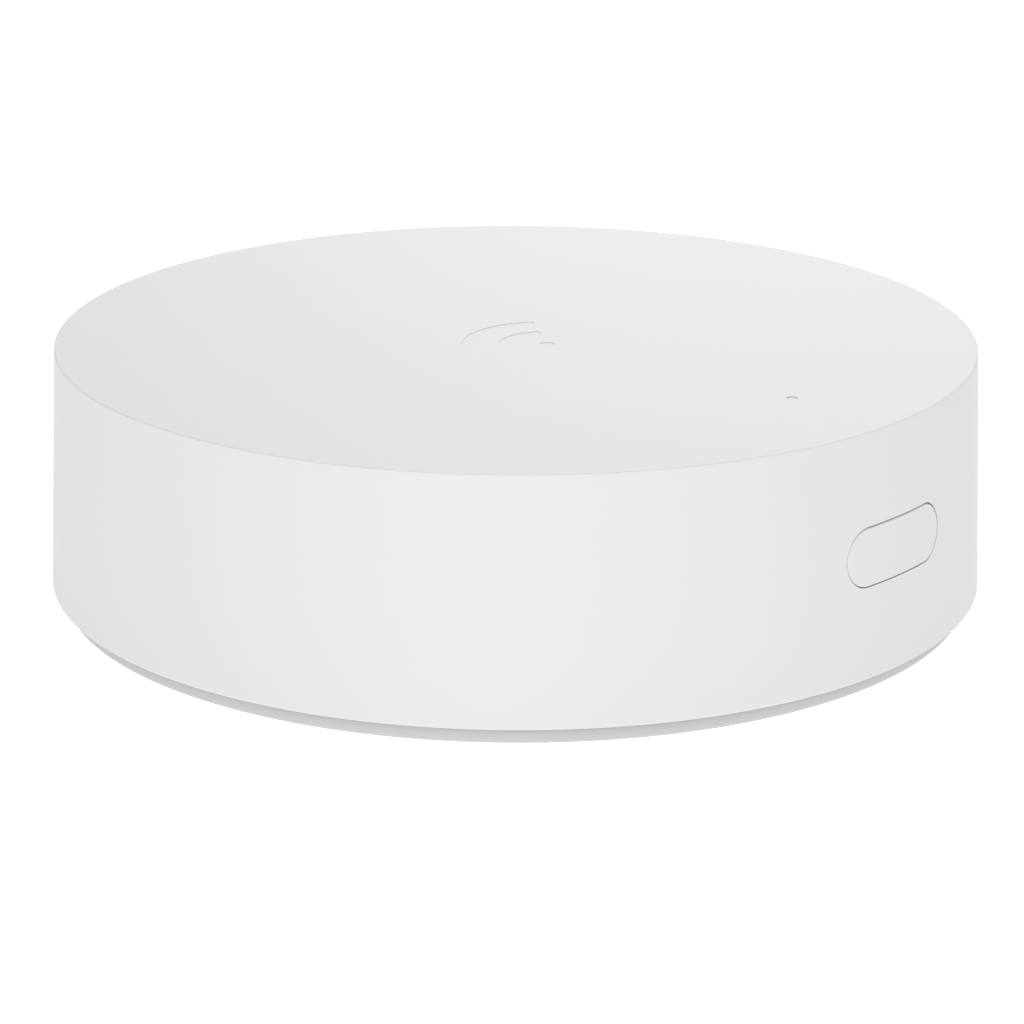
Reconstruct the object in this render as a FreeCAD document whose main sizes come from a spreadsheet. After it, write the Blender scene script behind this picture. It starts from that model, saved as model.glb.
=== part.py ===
import FreeCAD, Part
import os
import re

import Sketcher
from FreeCAD import Vector

# Round smart home hub: a low drafted puck on a rubber foot ring. All lengths are millimetres, angles degrees.
# Z is up with z = 0 on the table. The button and its status light face -Y, the power socket faces +Y.

SIZES = [
    # The outside of the case.
    ("body_diameter", 93.8, "across the shell's lower edge, its widest place"),
    ("overall_height", 26.68, "table to top face"),
    ("wall_draft", 1.97, "lean of the side wall, inwards going up"),
    ("wall", 2.0, "side wall, measured level"),
    ("roof", 2.0, "top panel"),
    ("edge_round", 0.15, "round on the top edge"),
    ("lip_break", 0.2, "bevel on the shell's lower outer edge"),
    ("foot_stand", 0.6, "how far the rubber lifts the base"),
    ("reveal", 1.8, "height of base that shows under the shell"),
    # The base cover.
    ("base_inset", 1.23, "how far the base rim stands inside the shell's edge"),
    ("base_round", 0.5, "round on the base's lower edge"),
    ("floor", 2.0, "base floor"),
    ("rim_gap", 0.1, "shadow line between base rim and shell"),
    ("spigot_fit", 0.3, "shell to spigot"),
    ("spigot_wall", 1.2, "spigot ring"),
    ("spigot_rise", 3.7, "spigot above the rim"),
    ("spigot_notch", 33.0, "width cut from the spigot under the button"),
    # The foot and the label.
    ("foot_width", 6.8, "width of the rubber ring"),
    ("foot_sink", 1.0, "how deep the ring sits in the base"),
    ("foot_fit", 0.1, "ring to the sides of its groove"),
    ("foot_round", 0.4, "round on the ring's lower edges"),
    ("label_diameter", 59.2, "blank rating label"),
    ("label_film", 0.12, "label thickness"),
    ("label_recess", 0.2, "depth of the label's recess"),
    ("label_fit", 0.4, "label edge to recess edge"),
    # Screws and bosses that close the case.
    ("case_boss_inset", 5.9, "shell inner wall to the case bosses' circle"),
    ("case_boss", 6.0, "case boss diameter"),
    ("case_pad", 8.0, "screw pad diameter on the base"),
    ("case_pad_rise", 1.8, "screw pad above the floor"),
    ("case_thread", 2.5, "case screw thread"),
    ("case_thread_length", 8.0, "case screw under its head"),
    ("case_head", 4.4, "case screw head diameter"),
    ("case_head_height", 1.5, "case screw head"),
    ("case_head_cover", 0.1, "rubber ring to screw head"),
    ("thread_fit", 0.05, "radius of a boss hole over its thread"),
    ("screw_clear", 0.2, "radius of a clearance hole over its screw"),
    ("drive_width", 1.5, "screw drive across its points"),
    ("drive_depth", 0.7, "depth of the screw drive"),
    ("hole_spare", 1.2, "boss hole past the end of its screw"),
    ("cut_spare", 1.0, "how far a cut runs past the face it leaves"),
    # The circuit board and what holds it.
    ("board_thickness", 1.6, "circuit board"),
    ("board_clearance", 4.75, "board edge to the shell's inner wall"),
    ("board_boss_inset", 8.8, "board edge to the board bosses' circle"),
    ("board_boss", 5.5, "board boss diameter"),
    ("board_thread", 2.0, "board screw thread"),
    ("board_thread_length", 6.6, "board screw under its head"),
    ("board_head", 4.0, "board screw head diameter"),
    ("board_head_height", 1.4, "board screw head"),
    ("notch_clear", 0.5, "board to each case boss"),
    ("tab_width", 14.0, "board tab under the power socket"),
    ("tab_clearance", 0.9, "tab end to the shell's inner wall"),
    # The button, its spring and its switch.
    ("button_length", 15.05, "pill button, end to end"),
    ("button_height", 5.75, "pill button, top to bottom"),
    ("button_drop", 12.2, "top face to button centre"),
    ("button_gap", 0.11, "gap all round the button"),
    ("button_flange", 1.1, "how far the flange spreads behind the wall"),
    ("flange_gap", 0.1, "flange to inner wall at rest"),
    ("button_travel", 0.35, "how far the button goes in"),
    ("actuator", 3.0, "diameter of the peg behind the button"),
    ("actuator_gap", 0.02, "peg to plunger at rest"),
    ("spring_tail", 4.45, "spring past each end of the button's flange"),
    ("spring_clearance", 0.5, "spring end to inner wall"),
    ("spring_sheet", 0.3, "spring thickness"),
    ("spring_width", 4.0, "spring strip, top to bottom"),
    ("spring_corner", 1.0, "corners of the spring strip"),
    ("spring_window", 2.2, "height of the window in each spring arm"),
    ("spring_window_length", 3.0, "length of that window"),
    ("spring_hole", 3.5, "hole that the peg passes"),
    ("post_inset", 1.4, "spring end to post centre"),
    ("post_width", 2.6, "spring post along the strip"),
    ("post_depth", 2.2, "spring post behind the strip"),
    ("post_drop", 3.0, "post below the button's centre"),
    ("stake", 1.4, "stake pin through the spring"),
    ("stake_fit", 0.05, "radius of the spring's hole over the stake"),
    ("switch_width", 6.4, "switch along the board edge"),
    ("switch_tab_width", 9.0, "straight front edge of the board under the switch"),
    ("switch_margin", 0.25, "board in front of the switch"),
    ("switch_height", 4.6, "switch above the board"),
    ("switch_depth", 2.6, "switch body, front to back"),
    ("switch_cavity", 3.8, "diameter of the switch's pocket"),
    ("dome_spare", 0.31, "height left in the snap dome when the button is fully in"),
    ("dome_play", 0.02, "snap dome to plunger and to the pocket's floor"),
    ("cover_sheet", 0.2, "switch cover plate"),
    ("plunger_stem", 2.4, "plunger stem diameter"),
    ("plunger_stem_fit", 0.15, "cover hole over the stem, radius"),
    ("plunger_flange", 3.4, "plunger flange diameter"),
    ("plunger_flange_thick", 0.45, "plunger flange"),
    ("plunger_reach", 1.3, "stem in front of the cover"),
    ("plunger_to_spring", 0.6, "stem end to the back of the spring"),
    ("plunger_gap", 0.05, "play of the plunger in its pocket"),
    ("dome_sheet", 0.1, "snap dome thickness"),
    ("dome_diameter", 3.6, "snap dome"),
    # The status light.
    ("light_inset", 12.22, "top edge to light centre"),
    ("light_hole", 1.05, "hole in the top panel"),
    ("light_tip", 1.0, "light pipe in that hole"),
    ("light_sink", 0.06, "tip below the top face"),
    ("light_collar", 4.0, "collar of the light pipe"),
    ("light_collar_height", 1.2, "collar height"),
    ("light_stem", 2.4, "light pipe stem"),
    ("light_gap", 0.45, "stem to status light"),
    ("sleeve_fit", 0.1, "sleeve over the collar, radius"),
    ("sleeve_wall", 1.0, "sleeve under the top panel"),
    ("sleeve_drop", 3.0, "sleeve height"),
    ("shroud_bore", 3.0, "foam shroud's bore"),
    ("shroud_wall", 0.7, "foam shroud's wall"),
    ("shroud_height", 3.5, "foam shroud"),
    ("led_length", 1.6, "status light package"),
    ("led_width", 0.8, "status light package"),
    ("led_height", 0.6, "status light package"),
    # The power socket, and the recess that its plug enters.
    ("recess_width", 12.0, "plug recess in the shell"),
    ("recess_height", 7.5, "plug recess in the shell"),
    ("recess_corner", 2.0, "plug recess corners"),
    ("recess_depth", 1.1, "plug recess at its middle"),
    ("port_gap", 0.4, "shell opening round the socket"),
    ("port_corner", 1.2, "corners of that opening"),
    ("socket_width", 7.5, "power socket shell"),
    ("socket_height", 2.5, "power socket shell"),
    ("socket_depth", 5.0, "power socket shell"),
    ("socket_sheet", 0.3, "power socket sheet metal"),
    ("socket_taper", 1.05, "how far each lower corner is cut in"),
    ("socket_sink", 0.05, "socket mouth behind the recess floor"),
    ("tongue_width", 3.9, "contact tongue"),
    ("tongue_thick", 0.6, "contact tongue"),
    ("tongue_drop", 0.35, "tongue under the socket's ceiling"),
    ("tongue_reach", 3.6, "contact tongue length"),
    ("contact_width", 0.35, "each contact"),
    ("contact_thick", 0.08, "each contact"),
    ("contact_pitch", 0.65, "contact spacing"),
    ("contact_reach", 3.2, "contact length"),
    # The mark pressed into the top.
    ("mark_depth", 0.08, "depth of the mark"),
    ("mark_dot", 1.5, "dot diameter"),
    ("mark_stroke", 1.3, "width of each arc"),
    ("mark_first", 4.2, "middle radius of the inner arc"),
    ("mark_second", 7.9, "middle radius of the outer arc"),
    ("mark_spread", 42.0, "half angle of each arc"),
    ("mark_drop", 4.0, "dot centre in front of the case axis"),
    # The antennas, their holders and leads.
    ("antenna_length", 28.0, "antenna strip"),
    ("antenna_height", 7.0, "antenna strip"),
    ("antenna_sheet", 0.6, "antenna strip"),
    ("antenna_drop", 4.48, "top face to antenna top"),
    ("antenna_clearance", 0.65, "antenna corner to inner wall"),
    ("holder_spacing", 20.0, "between the two holders of an antenna"),
    ("holder_length", 3.0, "holder along the strip"),
    ("holder_thick", 2.6, "holder across the strip"),
    ("holder_grip", 5.0, "how far down the strip a holder reaches"),
    ("holder_fit", 0.05, "slot to strip, each side"),
    ("lead_diameter", 1.13, "antenna lead"),
    ("lead_bend", 2.5, "bend radius of the lead"),
    ("lead_offset", 6.0, "lead in front of the middle of the strip"),
    ("lead_rise", 4.0, "end of the lead above the strip's lower edge"),
    ("connector_side", 3.0, "antenna connector"),
    ("connector_height", 1.9, "antenna connector"),
    ("connector_inset", 6.8, "board edge to antenna connector"),
    # Electronic parts on the board.
    ("processor_side", 14.0, "processor"),
    ("processor_height", 1.0, "processor"),
    ("memory_length", 8.0, "memory chip, left to right"),
    ("memory_width", 9.0, "memory chip, front to back"),
    ("memory_height", 1.0, "memory chip"),
    ("flash_length", 6.0, "storage chip"),
    ("flash_width", 5.0, "storage chip"),
    ("flash_height", 0.8, "storage chip"),
    ("radio_side", 7.0, "radio chip"),
    ("radio_height", 0.9, "radio chip"),
    ("chip_break", 0.12, "bevel on chip edges"),
    ("shield_length", 28.0, "shield frame, left to right"),
    ("shield_width", 20.0, "shield frame, front to back"),
    ("shield_height", 2.2, "shield frame"),
    ("shield_sheet", 0.25, "shield sheet metal"),
    ("shield_skirt", 1.3, "skirt of the shield lid"),
    ("shield_corner", 0.75, "upright corners of the shield frame"),
    ("shield_round", 0.2, "round on the lid's upper edges"),
    ("shield_fit", 0.05, "lid skirt to frame"),
    ("processor_shift", 5.0, "processor left of the shield's middle"),
    ("memory_shift", 8.0, "memory right of the shield's middle"),
    ("shield_forward", 4.0, "shield in front of the case axis"),
    ("inductor_side", 6.0, "power inductor"),
    ("inductor_height", 3.0, "power inductor"),
    ("inductor_round", 0.8, "power inductor corners"),
    ("can_diameter", 6.3, "can capacitor"),
    ("can_height", 5.8, "can capacitor"),
    ("can_base", 0.9, "can capacitor's plastic base"),
    ("can_inset", 0.05, "can inside its base's edge"),
    ("can_round", 0.4, "round on the can's top"),
    ("crystal_length", 3.2, "crystal"),
    ("crystal_width", 2.5, "crystal"),
    ("crystal_height", 0.8, "crystal"),
    ("passive_length", 1.6, "small resistors and capacitors"),
    ("passive_width", 0.8, "small resistors and capacitors"),
    ("passive_height", 0.6, "small resistors and capacitors"),
    ("passive_pitch", 2.2, "spacing in a row of them"),
    ("tile_length", 5.0, "ceramic antenna tile"),
    ("tile_width", 2.0, "ceramic antenna tile"),
    ("tile_height", 1.2, "ceramic antenna tile"),
    # Where those parts stand on the board, from the case axis.
    ("flash_x", 2.0, "storage chip"),
    ("flash_y", 13.0, "storage chip"),
    ("radio_x", 20.0, "radio chip"),
    ("radio_y", 9.0, "radio chip"),
    ("first_crystal_x", 12.0, "processor's crystal"),
    ("first_crystal_y", 12.0, "processor's crystal"),
    ("second_crystal_y", 15.5, "radio's crystal, behind the radio chip"),
    ("tile_x", 24.0, "ceramic antenna tile"),
    ("tile_y", 1.0, "ceramic antenna tile"),
    ("inductor_x", 20.0, "power inductors, on the left"),
    ("rear_inductor_y", 9.0, "rear power inductor"),
    ("front_inductor_y", 1.0, "front power inductor"),
    ("left_can_x", 9.0, "left can capacitor, on the left"),
    ("left_can_y", 20.0, "left can capacitor"),
    ("right_can_x", 9.0, "right can capacitor"),
    ("right_can_y", 24.0, "right can capacitor"),
    ("row_gap", 2.5, "between two rows of small parts"),
    ("left_rows_x", 12.0, "rows beside the storage chip, on the left"),
    ("left_rows_y", 10.0, "front one of those rows"),
    ("front_rows_x", 6.0, "rows in front of the shield, on the left"),
    ("front_rows_y", 18.0, "rear one of those rows, in front of the axis"),
    ("right_row_x", 8.0, "row behind the crystal"),
    ("right_row_y", 18.0, "that row"),
    # Heat path from the processor to the base.
    ("thermal_pad_side", 12.0, "thermal pad on the processor"),
    ("lower_pad_side", 16.0, "thermal pad under the board"),
    ("lower_pad_thick", 1.2, "thermal pad under the board"),
    ("spreader_thick", 1.2, "heat spreader plate"),
    ("spreader_clearance", 1.5, "spreader edge to board screw heads"),
    ("spreader_round", 0.3, "round on the spreader's edges"),
    ("spreader_post", 5.0, "posts that carry the spreader"),
    ("spreader_post_inset", 4.0, "spreader edge to its screws"),
    ("spreader_thread", 1.8, "spreader screw thread"),
    ("spreader_head", 3.6, "spreader screw head"),
    ("spreader_head_height", 1.0, "spreader screw head"),
    ("spreader_screw_end", 0.3, "spreader screw's end above the floor"),
]

# Places worked out from those sizes, each written once and used by every piece that meets there.
PLACES = {
    "shell_edge_z": "foot_stand + reveal",
    "shell_radius": "body_diameter / 2",
    "roof_z": "overall_height - roof",
    "base_radius": "shell_radius - base_inset",
    "rim_top_z": "shell_edge_z - rim_gap",
    "floor_top_z": "foot_stand + floor",
    "spigot_radius": "shell_radius - wall - spigot_fit",
    "spigot_top_z": "rim_top_z + spigot_rise",
    "case_circle": "shell_radius - wall - case_boss_inset",
    "case_pad_z": "floor_top_z + case_pad_rise",
    "foot_top_z": "foot_stand + foot_sink",
    "case_head_z": "foot_top_z + case_head_cover",
    "case_seat_z": "case_head_z + case_head_height",
    "button_z": "overall_height - button_drop",
    "board_top_z": "button_z - switch_height / 2",
    "board_low_z": "board_top_z - board_thickness",
    "board_radius": "shell_radius - wall - (board_top_z - shell_edge_z) * tan(wall_draft) - board_clearance",
    "board_circle": "board_radius - board_boss_inset",
    "spring_half": "button_length / 2 + button_flange + spring_tail",
    "spring_high_z": "button_z + spring_width / 2",
    "spring_reach": "shell_radius - wall - (spring_high_z - shell_edge_z) * tan(wall_draft)",
    "spring_face": "sqrt(spring_reach ^ 2 - spring_half ^ 2) - spring_clearance",
    "spring_back": "spring_face - spring_sheet",
    "post_x": "spring_half - post_inset",
    "plunger_tip": "spring_back - plunger_to_spring",
    "switch_front": "plunger_tip - plunger_reach",
    "switch_body_front": "switch_front - cover_sheet",
    "plunger_flange_front": "switch_body_front - plunger_gap",
    "dome_top": "plunger_flange_front - plunger_flange_thick - dome_play",
    "dome_foot": "dome_top - button_travel - dome_spare",
    "light_radius": "shell_radius - (overall_height - shell_edge_z) * tan(wall_draft) - light_inset",
    "stem_z": "board_top_z + led_height + light_gap",
    "socket_z": "board_top_z + socket_height / 2",
    "recess_floor": "shell_radius - (socket_z - shell_edge_z) * tan(wall_draft) - recess_depth",
    "socket_mouth": "recess_floor - socket_sink",
    "antenna_top_z": "overall_height - antenna_drop",
    "antenna_low_z": "antenna_top_z - antenna_height",
    "antenna_reach": "shell_radius - wall - (antenna_top_z - shell_edge_z) * tan(wall_draft)",
    "antenna_face": "sqrt(antenna_reach ^ 2 - antenna_length ^ 2 / 4) - antenna_clearance",
    "antenna_back": "antenna_face - antenna_sheet",
    "lead_z": "board_top_z + connector_height - chip_break - lead_diameter / 2",
    "lead_x": "antenna_back - lead_diameter / 2",
    "connector_x": "board_radius - connector_inset",
    "processor_top_z": "board_top_z + processor_height",
    "shield_top_z": "board_top_z + shield_height",
    "spreader_top_z": "board_low_z - lower_pad_thick",
    "spreader_low_z": "spreader_top_z - spreader_thick",
    "spreader_radius": "board_circle - board_head / 2 - spreader_clearance",
    "spreader_post_x": "spreader_radius - spreader_post_inset",
}

CASE_ANGLES = ["45", "135", "225", "315"]
BOARD_ANGLES = ["90", "200", "340"]
DRIVE_TURNS = range(0, 360, 60)
PARTS_IN_ROW = 4
CONTACT_STEPS = range(-2, 3)
NEAR = 1e-4
WORD = re.compile(r"[A-Za-z_]\w*")


def make_sheet(document):
    """Write every driving size into the spreadsheet, one row each."""
    table = document.addObject("Spreadsheet::Sheet", "Sizes")
    for row, (alias, size, note) in enumerate(SIZES, start=1):
        table.set(f"A{row}", alias)
        table.set(f"B{row}", str(size))
        table.set(f"C{row}", note)
        table.setAlias(f"B{row}", alias)
    document.recompute()
    return table


doc = FreeCAD.newDocument("SmartHomeHub")
sheet = make_sheet(doc)
ALIASES = {alias for alias, _, _ in SIZES}


def expand(text):
    """Turn size and place names into an expression on the sheet's cells."""

    def swap(match):
        word = match.group(0)
        if word in PLACES:
            return "(" + expand(PLACES[word]) + ")"
        if word in ALIASES:
            return "Sizes." + word
        return word

    return WORD.sub(swap, text)


def number(text):
    """Value of an expression in millimetres or degrees."""
    result = sheet.evalExpression(expand(text))
    return float(getattr(result, "Value", result))


def bind(thing, prop, text):
    """Tie a property of an object to the sheet."""
    thing.setExpression(prop, expand(text))


def outer_at(level):
    """Radius of the shell's outside at a height."""
    return f"(shell_radius - (({level}) - shell_edge_z) * tan(wall_draft))"


def inner_at(level):
    """Radius of the shell's inside at a height."""
    return f"(shell_radius - wall - (({level}) - shell_edge_z) * tan(wall_draft))"


def around(radius, angle):
    """Point on a circle about the case axis, as two expressions."""
    return f"({radius}) * cos({angle})", f"({radius}) * sin({angle})"


# Bodies and sketches.

def new_body(label, several=False):
    """A body whose label is the node's name; several allows a group of like solids."""
    body = doc.addObject("PartDesign::Body", label)
    body.Label = label
    body.AllowCompound = several
    return body


def origin_feature(body, role):
    """One of the body's own origin planes or axes."""
    return next(item for item in body.Origin.OriginFeatures if item.Role == role)


def new_sketch(body, plane, x="0", y="0", z="0"):
    """A sketch on an origin plane whose own origin is moved to x, y, z of the case."""
    sketch = body.newObject("Sketcher::SketchObject", body.Name + "_sketch")
    sketch.AttachmentSupport = (origin_feature(body, plane), [""])
    sketch.MapMode = "FlatFace"
    moves = {"XY_Plane": (x, y, z), "XZ_Plane": (x, z, f"-({y})"), "YZ_Plane": (y, z, x)}
    for axis, text in zip("xyz", moves[plane]):
        bind(sketch, "AttachmentOffset.Base." + axis, text)
    return sketch


def pin_point(sketch, geometry, place, x, y):
    """Fix a point of the sketch by its two distances from the sketch's origin."""
    for kind, text in (("DistanceX", x), ("DistanceY", y)):
        index = sketch.addConstraint(Sketcher.Constraint(kind, -1, 1, geometry, place, number(text)))
        bind(sketch, f"Constraints[{index}]", text)


def set_radius(sketch, geometry, radius):
    """Fix the radius of a circle or an arc."""
    index = sketch.addConstraint(Sketcher.Constraint("Radius", geometry, number(radius)))
    bind(sketch, f"Constraints[{index}]", radius)


def outline(sketch, points):
    """Closed outline of straight lines through points given as pairs of expressions."""
    places = [Vector(number(x), number(y), 0) for x, y in points]
    first = sketch.GeometryCount
    count = len(points)
    for step in range(count):
        sketch.addGeometry(Part.LineSegment(places[step], places[(step + 1) % count]))
    for step, (x, y) in enumerate(points):
        follower = first + (step + 1) % count
        sketch.addConstraint(Sketcher.Constraint("Coincident", first + step, 2, follower, 1))
        pin_point(sketch, first + step, 1, x, y)


def rectangle(sketch, x, y, width, height):
    """Rectangle about a centre."""
    left = f"{x} - ({width}) / 2"
    right = f"{x} + ({width}) / 2"
    low = f"{y} - ({height}) / 2"
    high = f"{y} + ({height}) / 2"
    outline(sketch, [(left, low), (right, low), (right, high), (left, high)])


def circle(sketch, x, y, radius):
    """Circle about a centre."""
    centre = Vector(number(x), number(y), 0)
    index = sketch.addGeometry(Part.Circle(centre, Vector(0, 0, 1), number(radius)))
    pin_point(sketch, index, 3, x, y)
    set_radius(sketch, index, radius)


def rounded(sketch, corners, radius):
    """Loop of equal corner arcs about their centres, anticlockwise, joined by tangent lines.

    Each corner is x, y and the angles where its arc starts and ends.
    """
    size = number(radius)
    arcs = []
    for x, y, start, end in corners:
        ring = Part.Circle(Vector(number(x), number(y), 0), Vector(0, 0, 1), size)
        arc = Part.ArcOfCircle(ring, FreeCAD.Units.Quantity(start, "deg").getValueAs("rad").Value,
                               FreeCAD.Units.Quantity(end, "deg").getValueAs("rad").Value)
        arcs.append(sketch.addGeometry(arc))
        pin_point(sketch, arcs[-1], 3, x, y)
        set_radius(sketch, arcs[-1], radius)
    for arc, follower in zip(arcs, arcs[1:] + arcs[:1]):
        start = sketch.getPoint(arc, 2)
        end = sketch.getPoint(follower, 1)
        line = sketch.addGeometry(Part.LineSegment(start, end))
        sketch.addConstraint(Sketcher.Constraint("Tangent", arc, 2, line, 1))
        sketch.addConstraint(Sketcher.Constraint("Tangent", line, 2, follower, 1))


def rounded_box(sketch, x, y, width, height, corner):
    """Rectangle with round corners about a centre."""
    right = f"{x} + ({width}) / 2 - ({corner})"
    left = f"{x} - ({width}) / 2 + ({corner})"
    high = f"{y} + ({height}) / 2 - ({corner})"
    low = f"{y} - ({height}) / 2 + ({corner})"
    corners = [(right, low, 270, 360), (right, high, 0, 90), (left, high, 90, 180), (left, low, 180, 270)]
    rounded(sketch, corners, corner)


def pill(sketch, x, y, length, height):
    """Bar with half round ends about a centre."""
    right = f"{x} + ({length}) / 2 - ({height}) / 2"
    left = f"{x} - ({length}) / 2 + ({height}) / 2"
    rounded(sketch, [(right, y, -90, 90), (left, y, 90, 270)], f"({height}) / 2")


def arc_band(sketch, x, y, radius, width, middle, spread):
    """Band of a ring about a centre, cut off by two lines at the half angle each side of the middle."""
    centre = Vector(number(x), number(y), 0)
    ends = (f"({middle}) - ({spread})", f"({middle}) + ({spread})")
    turns = [FreeCAD.Units.Quantity(number(end), "deg").getValueAs("rad").Value for end in ends]
    arcs = []
    for size in (f"({radius}) + ({width}) / 2", f"({radius}) - ({width}) / 2"):
        ring = Part.Circle(centre, Vector(0, 0, 1), number(size))
        arc = sketch.addGeometry(Part.ArcOfCircle(ring, *turns))
        arcs.append(arc)
        pin_point(sketch, arc, 3, x, y)
        set_radius(sketch, arc, size)
        for place, end in zip((1, 2), ends):
            across = f"{x} + ({size}) * cos({end})"
            index = sketch.addConstraint(Sketcher.Constraint("DistanceX", -1, 1, arc, place, number(across)))
            bind(sketch, f"Constraints[{index}]", across)
    for place in (1, 2):
        start = sketch.getPoint(arcs[0], place)
        end = sketch.getPoint(arcs[1], place)
        line = sketch.addGeometry(Part.LineSegment(start, end))
        sketch.addConstraint(Sketcher.Constraint("Coincident", arcs[0], place, line, 1))
        sketch.addConstraint(Sketcher.Constraint("Coincident", arcs[1], place, line, 2))


# Features.

def solid_volume(body):
    """Volume of the body so far."""
    return body.Shape.Volume if body.Shape and not body.Shape.isNull() else 0.0


def add_feature(body, kind, sketch, back=False):
    """A feature made from a sketch, not yet sized."""
    feature = body.newObject("PartDesign::" + kind, body.Name + "_" + kind.lower())
    feature.Profile = sketch
    feature.Reversed = back
    sketch.Visibility = False
    return feature


def pad(body, sketch, length, back=False):
    """Raise the sketch along its plane's normal, or the other way."""
    feature = add_feature(body, "Pad", sketch, back)
    bind(feature, "Length", length)
    return feature


def must_change(body, before, grows):
    """Stop if a feature did not add or remove material."""
    doc.recompute()
    change = solid_volume(body) - before
    if (change <= 0) if grows else (change >= 0):
        raise RuntimeError(f"{body.Label}: the last feature changed nothing ({change:.4f})")


def pocket(body, sketch, depth, back=False):
    """Cut the sketch against its plane's normal, or along it."""
    doc.recompute()
    before = solid_volume(body)
    feature = add_feature(body, "Pocket", sketch, back)
    bind(feature, "Length", depth)
    must_change(body, before, grows=False)
    return feature


def revolve(body, sketch, axis="V_Axis"):
    """Turn the sketch once round one of its own axes."""
    feature = add_feature(body, "Revolution", sketch)
    feature.ReferenceAxis = (sketch, [axis])
    feature.Angle = 360
    return feature


def groove(body, sketch, axis="V_Axis"):
    """Cut what the sketch sweeps in one turn round one of its own axes."""
    doc.recompute()
    before = solid_volume(body)
    feature = add_feature(body, "Groove", sketch)
    feature.ReferenceAxis = (sketch, [axis])
    feature.Angle = 360
    must_change(body, before, grows=False)
    return feature


def edges_where(feature, test):
    """Names of the feature's edges that pass a test."""
    doc.recompute()
    return [f"Edge{place}" for place, edge in enumerate(feature.Shape.Edges, start=1) if test(edge)]


def soften(body, feature, kind, size, test):
    """Fillet or chamfer the edges that pass a test."""
    names = edges_where(feature, test)
    if not names:
        raise RuntimeError(f"{body.Label}: no edge to {kind.lower()}")
    result = body.newObject("PartDesign::" + kind, body.Name + "_" + kind.lower())
    result.Base = (feature, names)
    bind(result, "Radius" if kind == "Fillet" else "Size", size)
    return result


def ring_edge(radius, level):
    """Test for a whole circle about a vertical line, of one radius at one height."""
    size = number(radius)
    height = number(level)

    def test(edge):
        curve = edge.Curve
        return (isinstance(curve, Part.Circle) and abs(curve.Radius - size) < NEAR
                and abs(edge.BoundBox.ZMin - height) < NEAR and abs(edge.BoundBox.ZMax - height) < NEAR)

    return test


def level_edge(level):
    """Test for an edge that lies at one height."""
    height = number(level)
    return lambda edge: abs(edge.BoundBox.ZMin - height) < NEAR and abs(edge.BoundBox.ZMax - height) < NEAR


def turned(label, profile, x="0", y="0"):
    """A body turned about the vertical line through x, y."""
    body = new_body(label)
    sketch = new_sketch(body, "XZ_Plane", x=x, y=y)
    outline(sketch, profile)
    return body, revolve(body, sketch)


def blocks(label, low_z, height, boxes, break_size=None):
    """A group of upright blocks on one level, each box being x, y, width and depth."""
    body = new_body(label, several=len(boxes) > 1)
    sketch = new_sketch(body, "XY_Plane", z=low_z)
    for x, y, width, depth in boxes:
        rectangle(sketch, x, y, width, depth)
    feature = pad(body, sketch, height)
    if break_size:
        soften(body, feature, "Chamfer", break_size, level_edge(f"{low_z} + {height}"))
    return body


def posts(body, low_z, height, places, radius):
    """Round posts on a level, at places given as pairs of expressions."""
    sketch = new_sketch(body, "XY_Plane", z=low_z)
    for x, y in places:
        circle(sketch, x, y, radius)
    return pad(body, sketch, height)


def drill(body, low_z, height, places, radius):
    """Round holes upwards from a level."""
    sketch = new_sketch(body, "XY_Plane", z=low_z)
    for x, y in places:
        circle(sketch, x, y, radius)
    return pocket(body, sketch, height, back=True)


# The shell.

def make_top_housing():
    """Drafted cup that is the top and side of the case, with all that hangs under its roof."""
    profile = [("0", "roof_z"), (inner_at("roof_z"), "roof_z"), ("shell_radius - wall", "shell_edge_z"),
               ("shell_radius", "shell_edge_z"), (outer_at("overall_height"), "overall_height"),
               ("0", "overall_height")]
    body, cup = turned("top_housing", profile)
    top_ring = ring_edge(outer_at("overall_height"), "overall_height")
    top_edge = soften(body, cup, "Fillet", "edge_round", top_ring)
    soften(body, top_edge, "Chamfer", "lip_break", ring_edge("shell_radius", "shell_edge_z"))

    case_places = [around("case_circle", angle) for angle in CASE_ANGLES]
    board_places = [around("board_circle", angle) for angle in BOARD_ANGLES]
    light_place = [("0", "-light_radius")]
    posts(body, "case_pad_z", "roof_z - case_pad_z", case_places, "case_boss / 2")
    posts(body, "board_top_z", "roof_z - board_top_z", board_places, "board_boss / 2")
    posts(body, "roof_z - sleeve_drop", "sleeve_drop", light_place,
          "light_collar / 2 + sleeve_fit + sleeve_wall")
    add_spring_posts(body)
    add_antenna_holders(body)

    drill(body, "case_pad_z", "case_seat_z + case_thread_length + hole_spare - case_pad_z", case_places,
          "case_thread / 2 + thread_fit")
    drill(body, "board_top_z", "board_thread_length - board_thickness + hole_spare", board_places,
          "board_thread / 2 + thread_fit")
    drill(body, "roof_z - sleeve_drop", "sleeve_drop", light_place, "light_collar / 2 + sleeve_fit")
    drill(body, "roof_z - cut_spare", "roof + 2 * cut_spare", light_place, "light_hole / 2")
    cut_button_opening(body)
    cut_power_opening(body)
    cut_mark(body)


def add_spring_posts(body):
    """Two posts that the button's spring is staked to, with their stake pins."""
    sketch = new_sketch(body, "XY_Plane", z="button_z - post_drop")
    for side in ("-post_x", "post_x"):
        rectangle(sketch, side, "-spring_back + post_depth / 2", "post_width", "post_depth")
    pad(body, sketch, "roof_z - button_z + post_drop")
    pins = new_sketch(body, "XZ_Plane", y="-spring_back", z="button_z")
    for side in ("-post_x", "post_x"):
        circle(pins, side, "0", "stake / 2")
    pad(body, pins, "spring_sheet")


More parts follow.
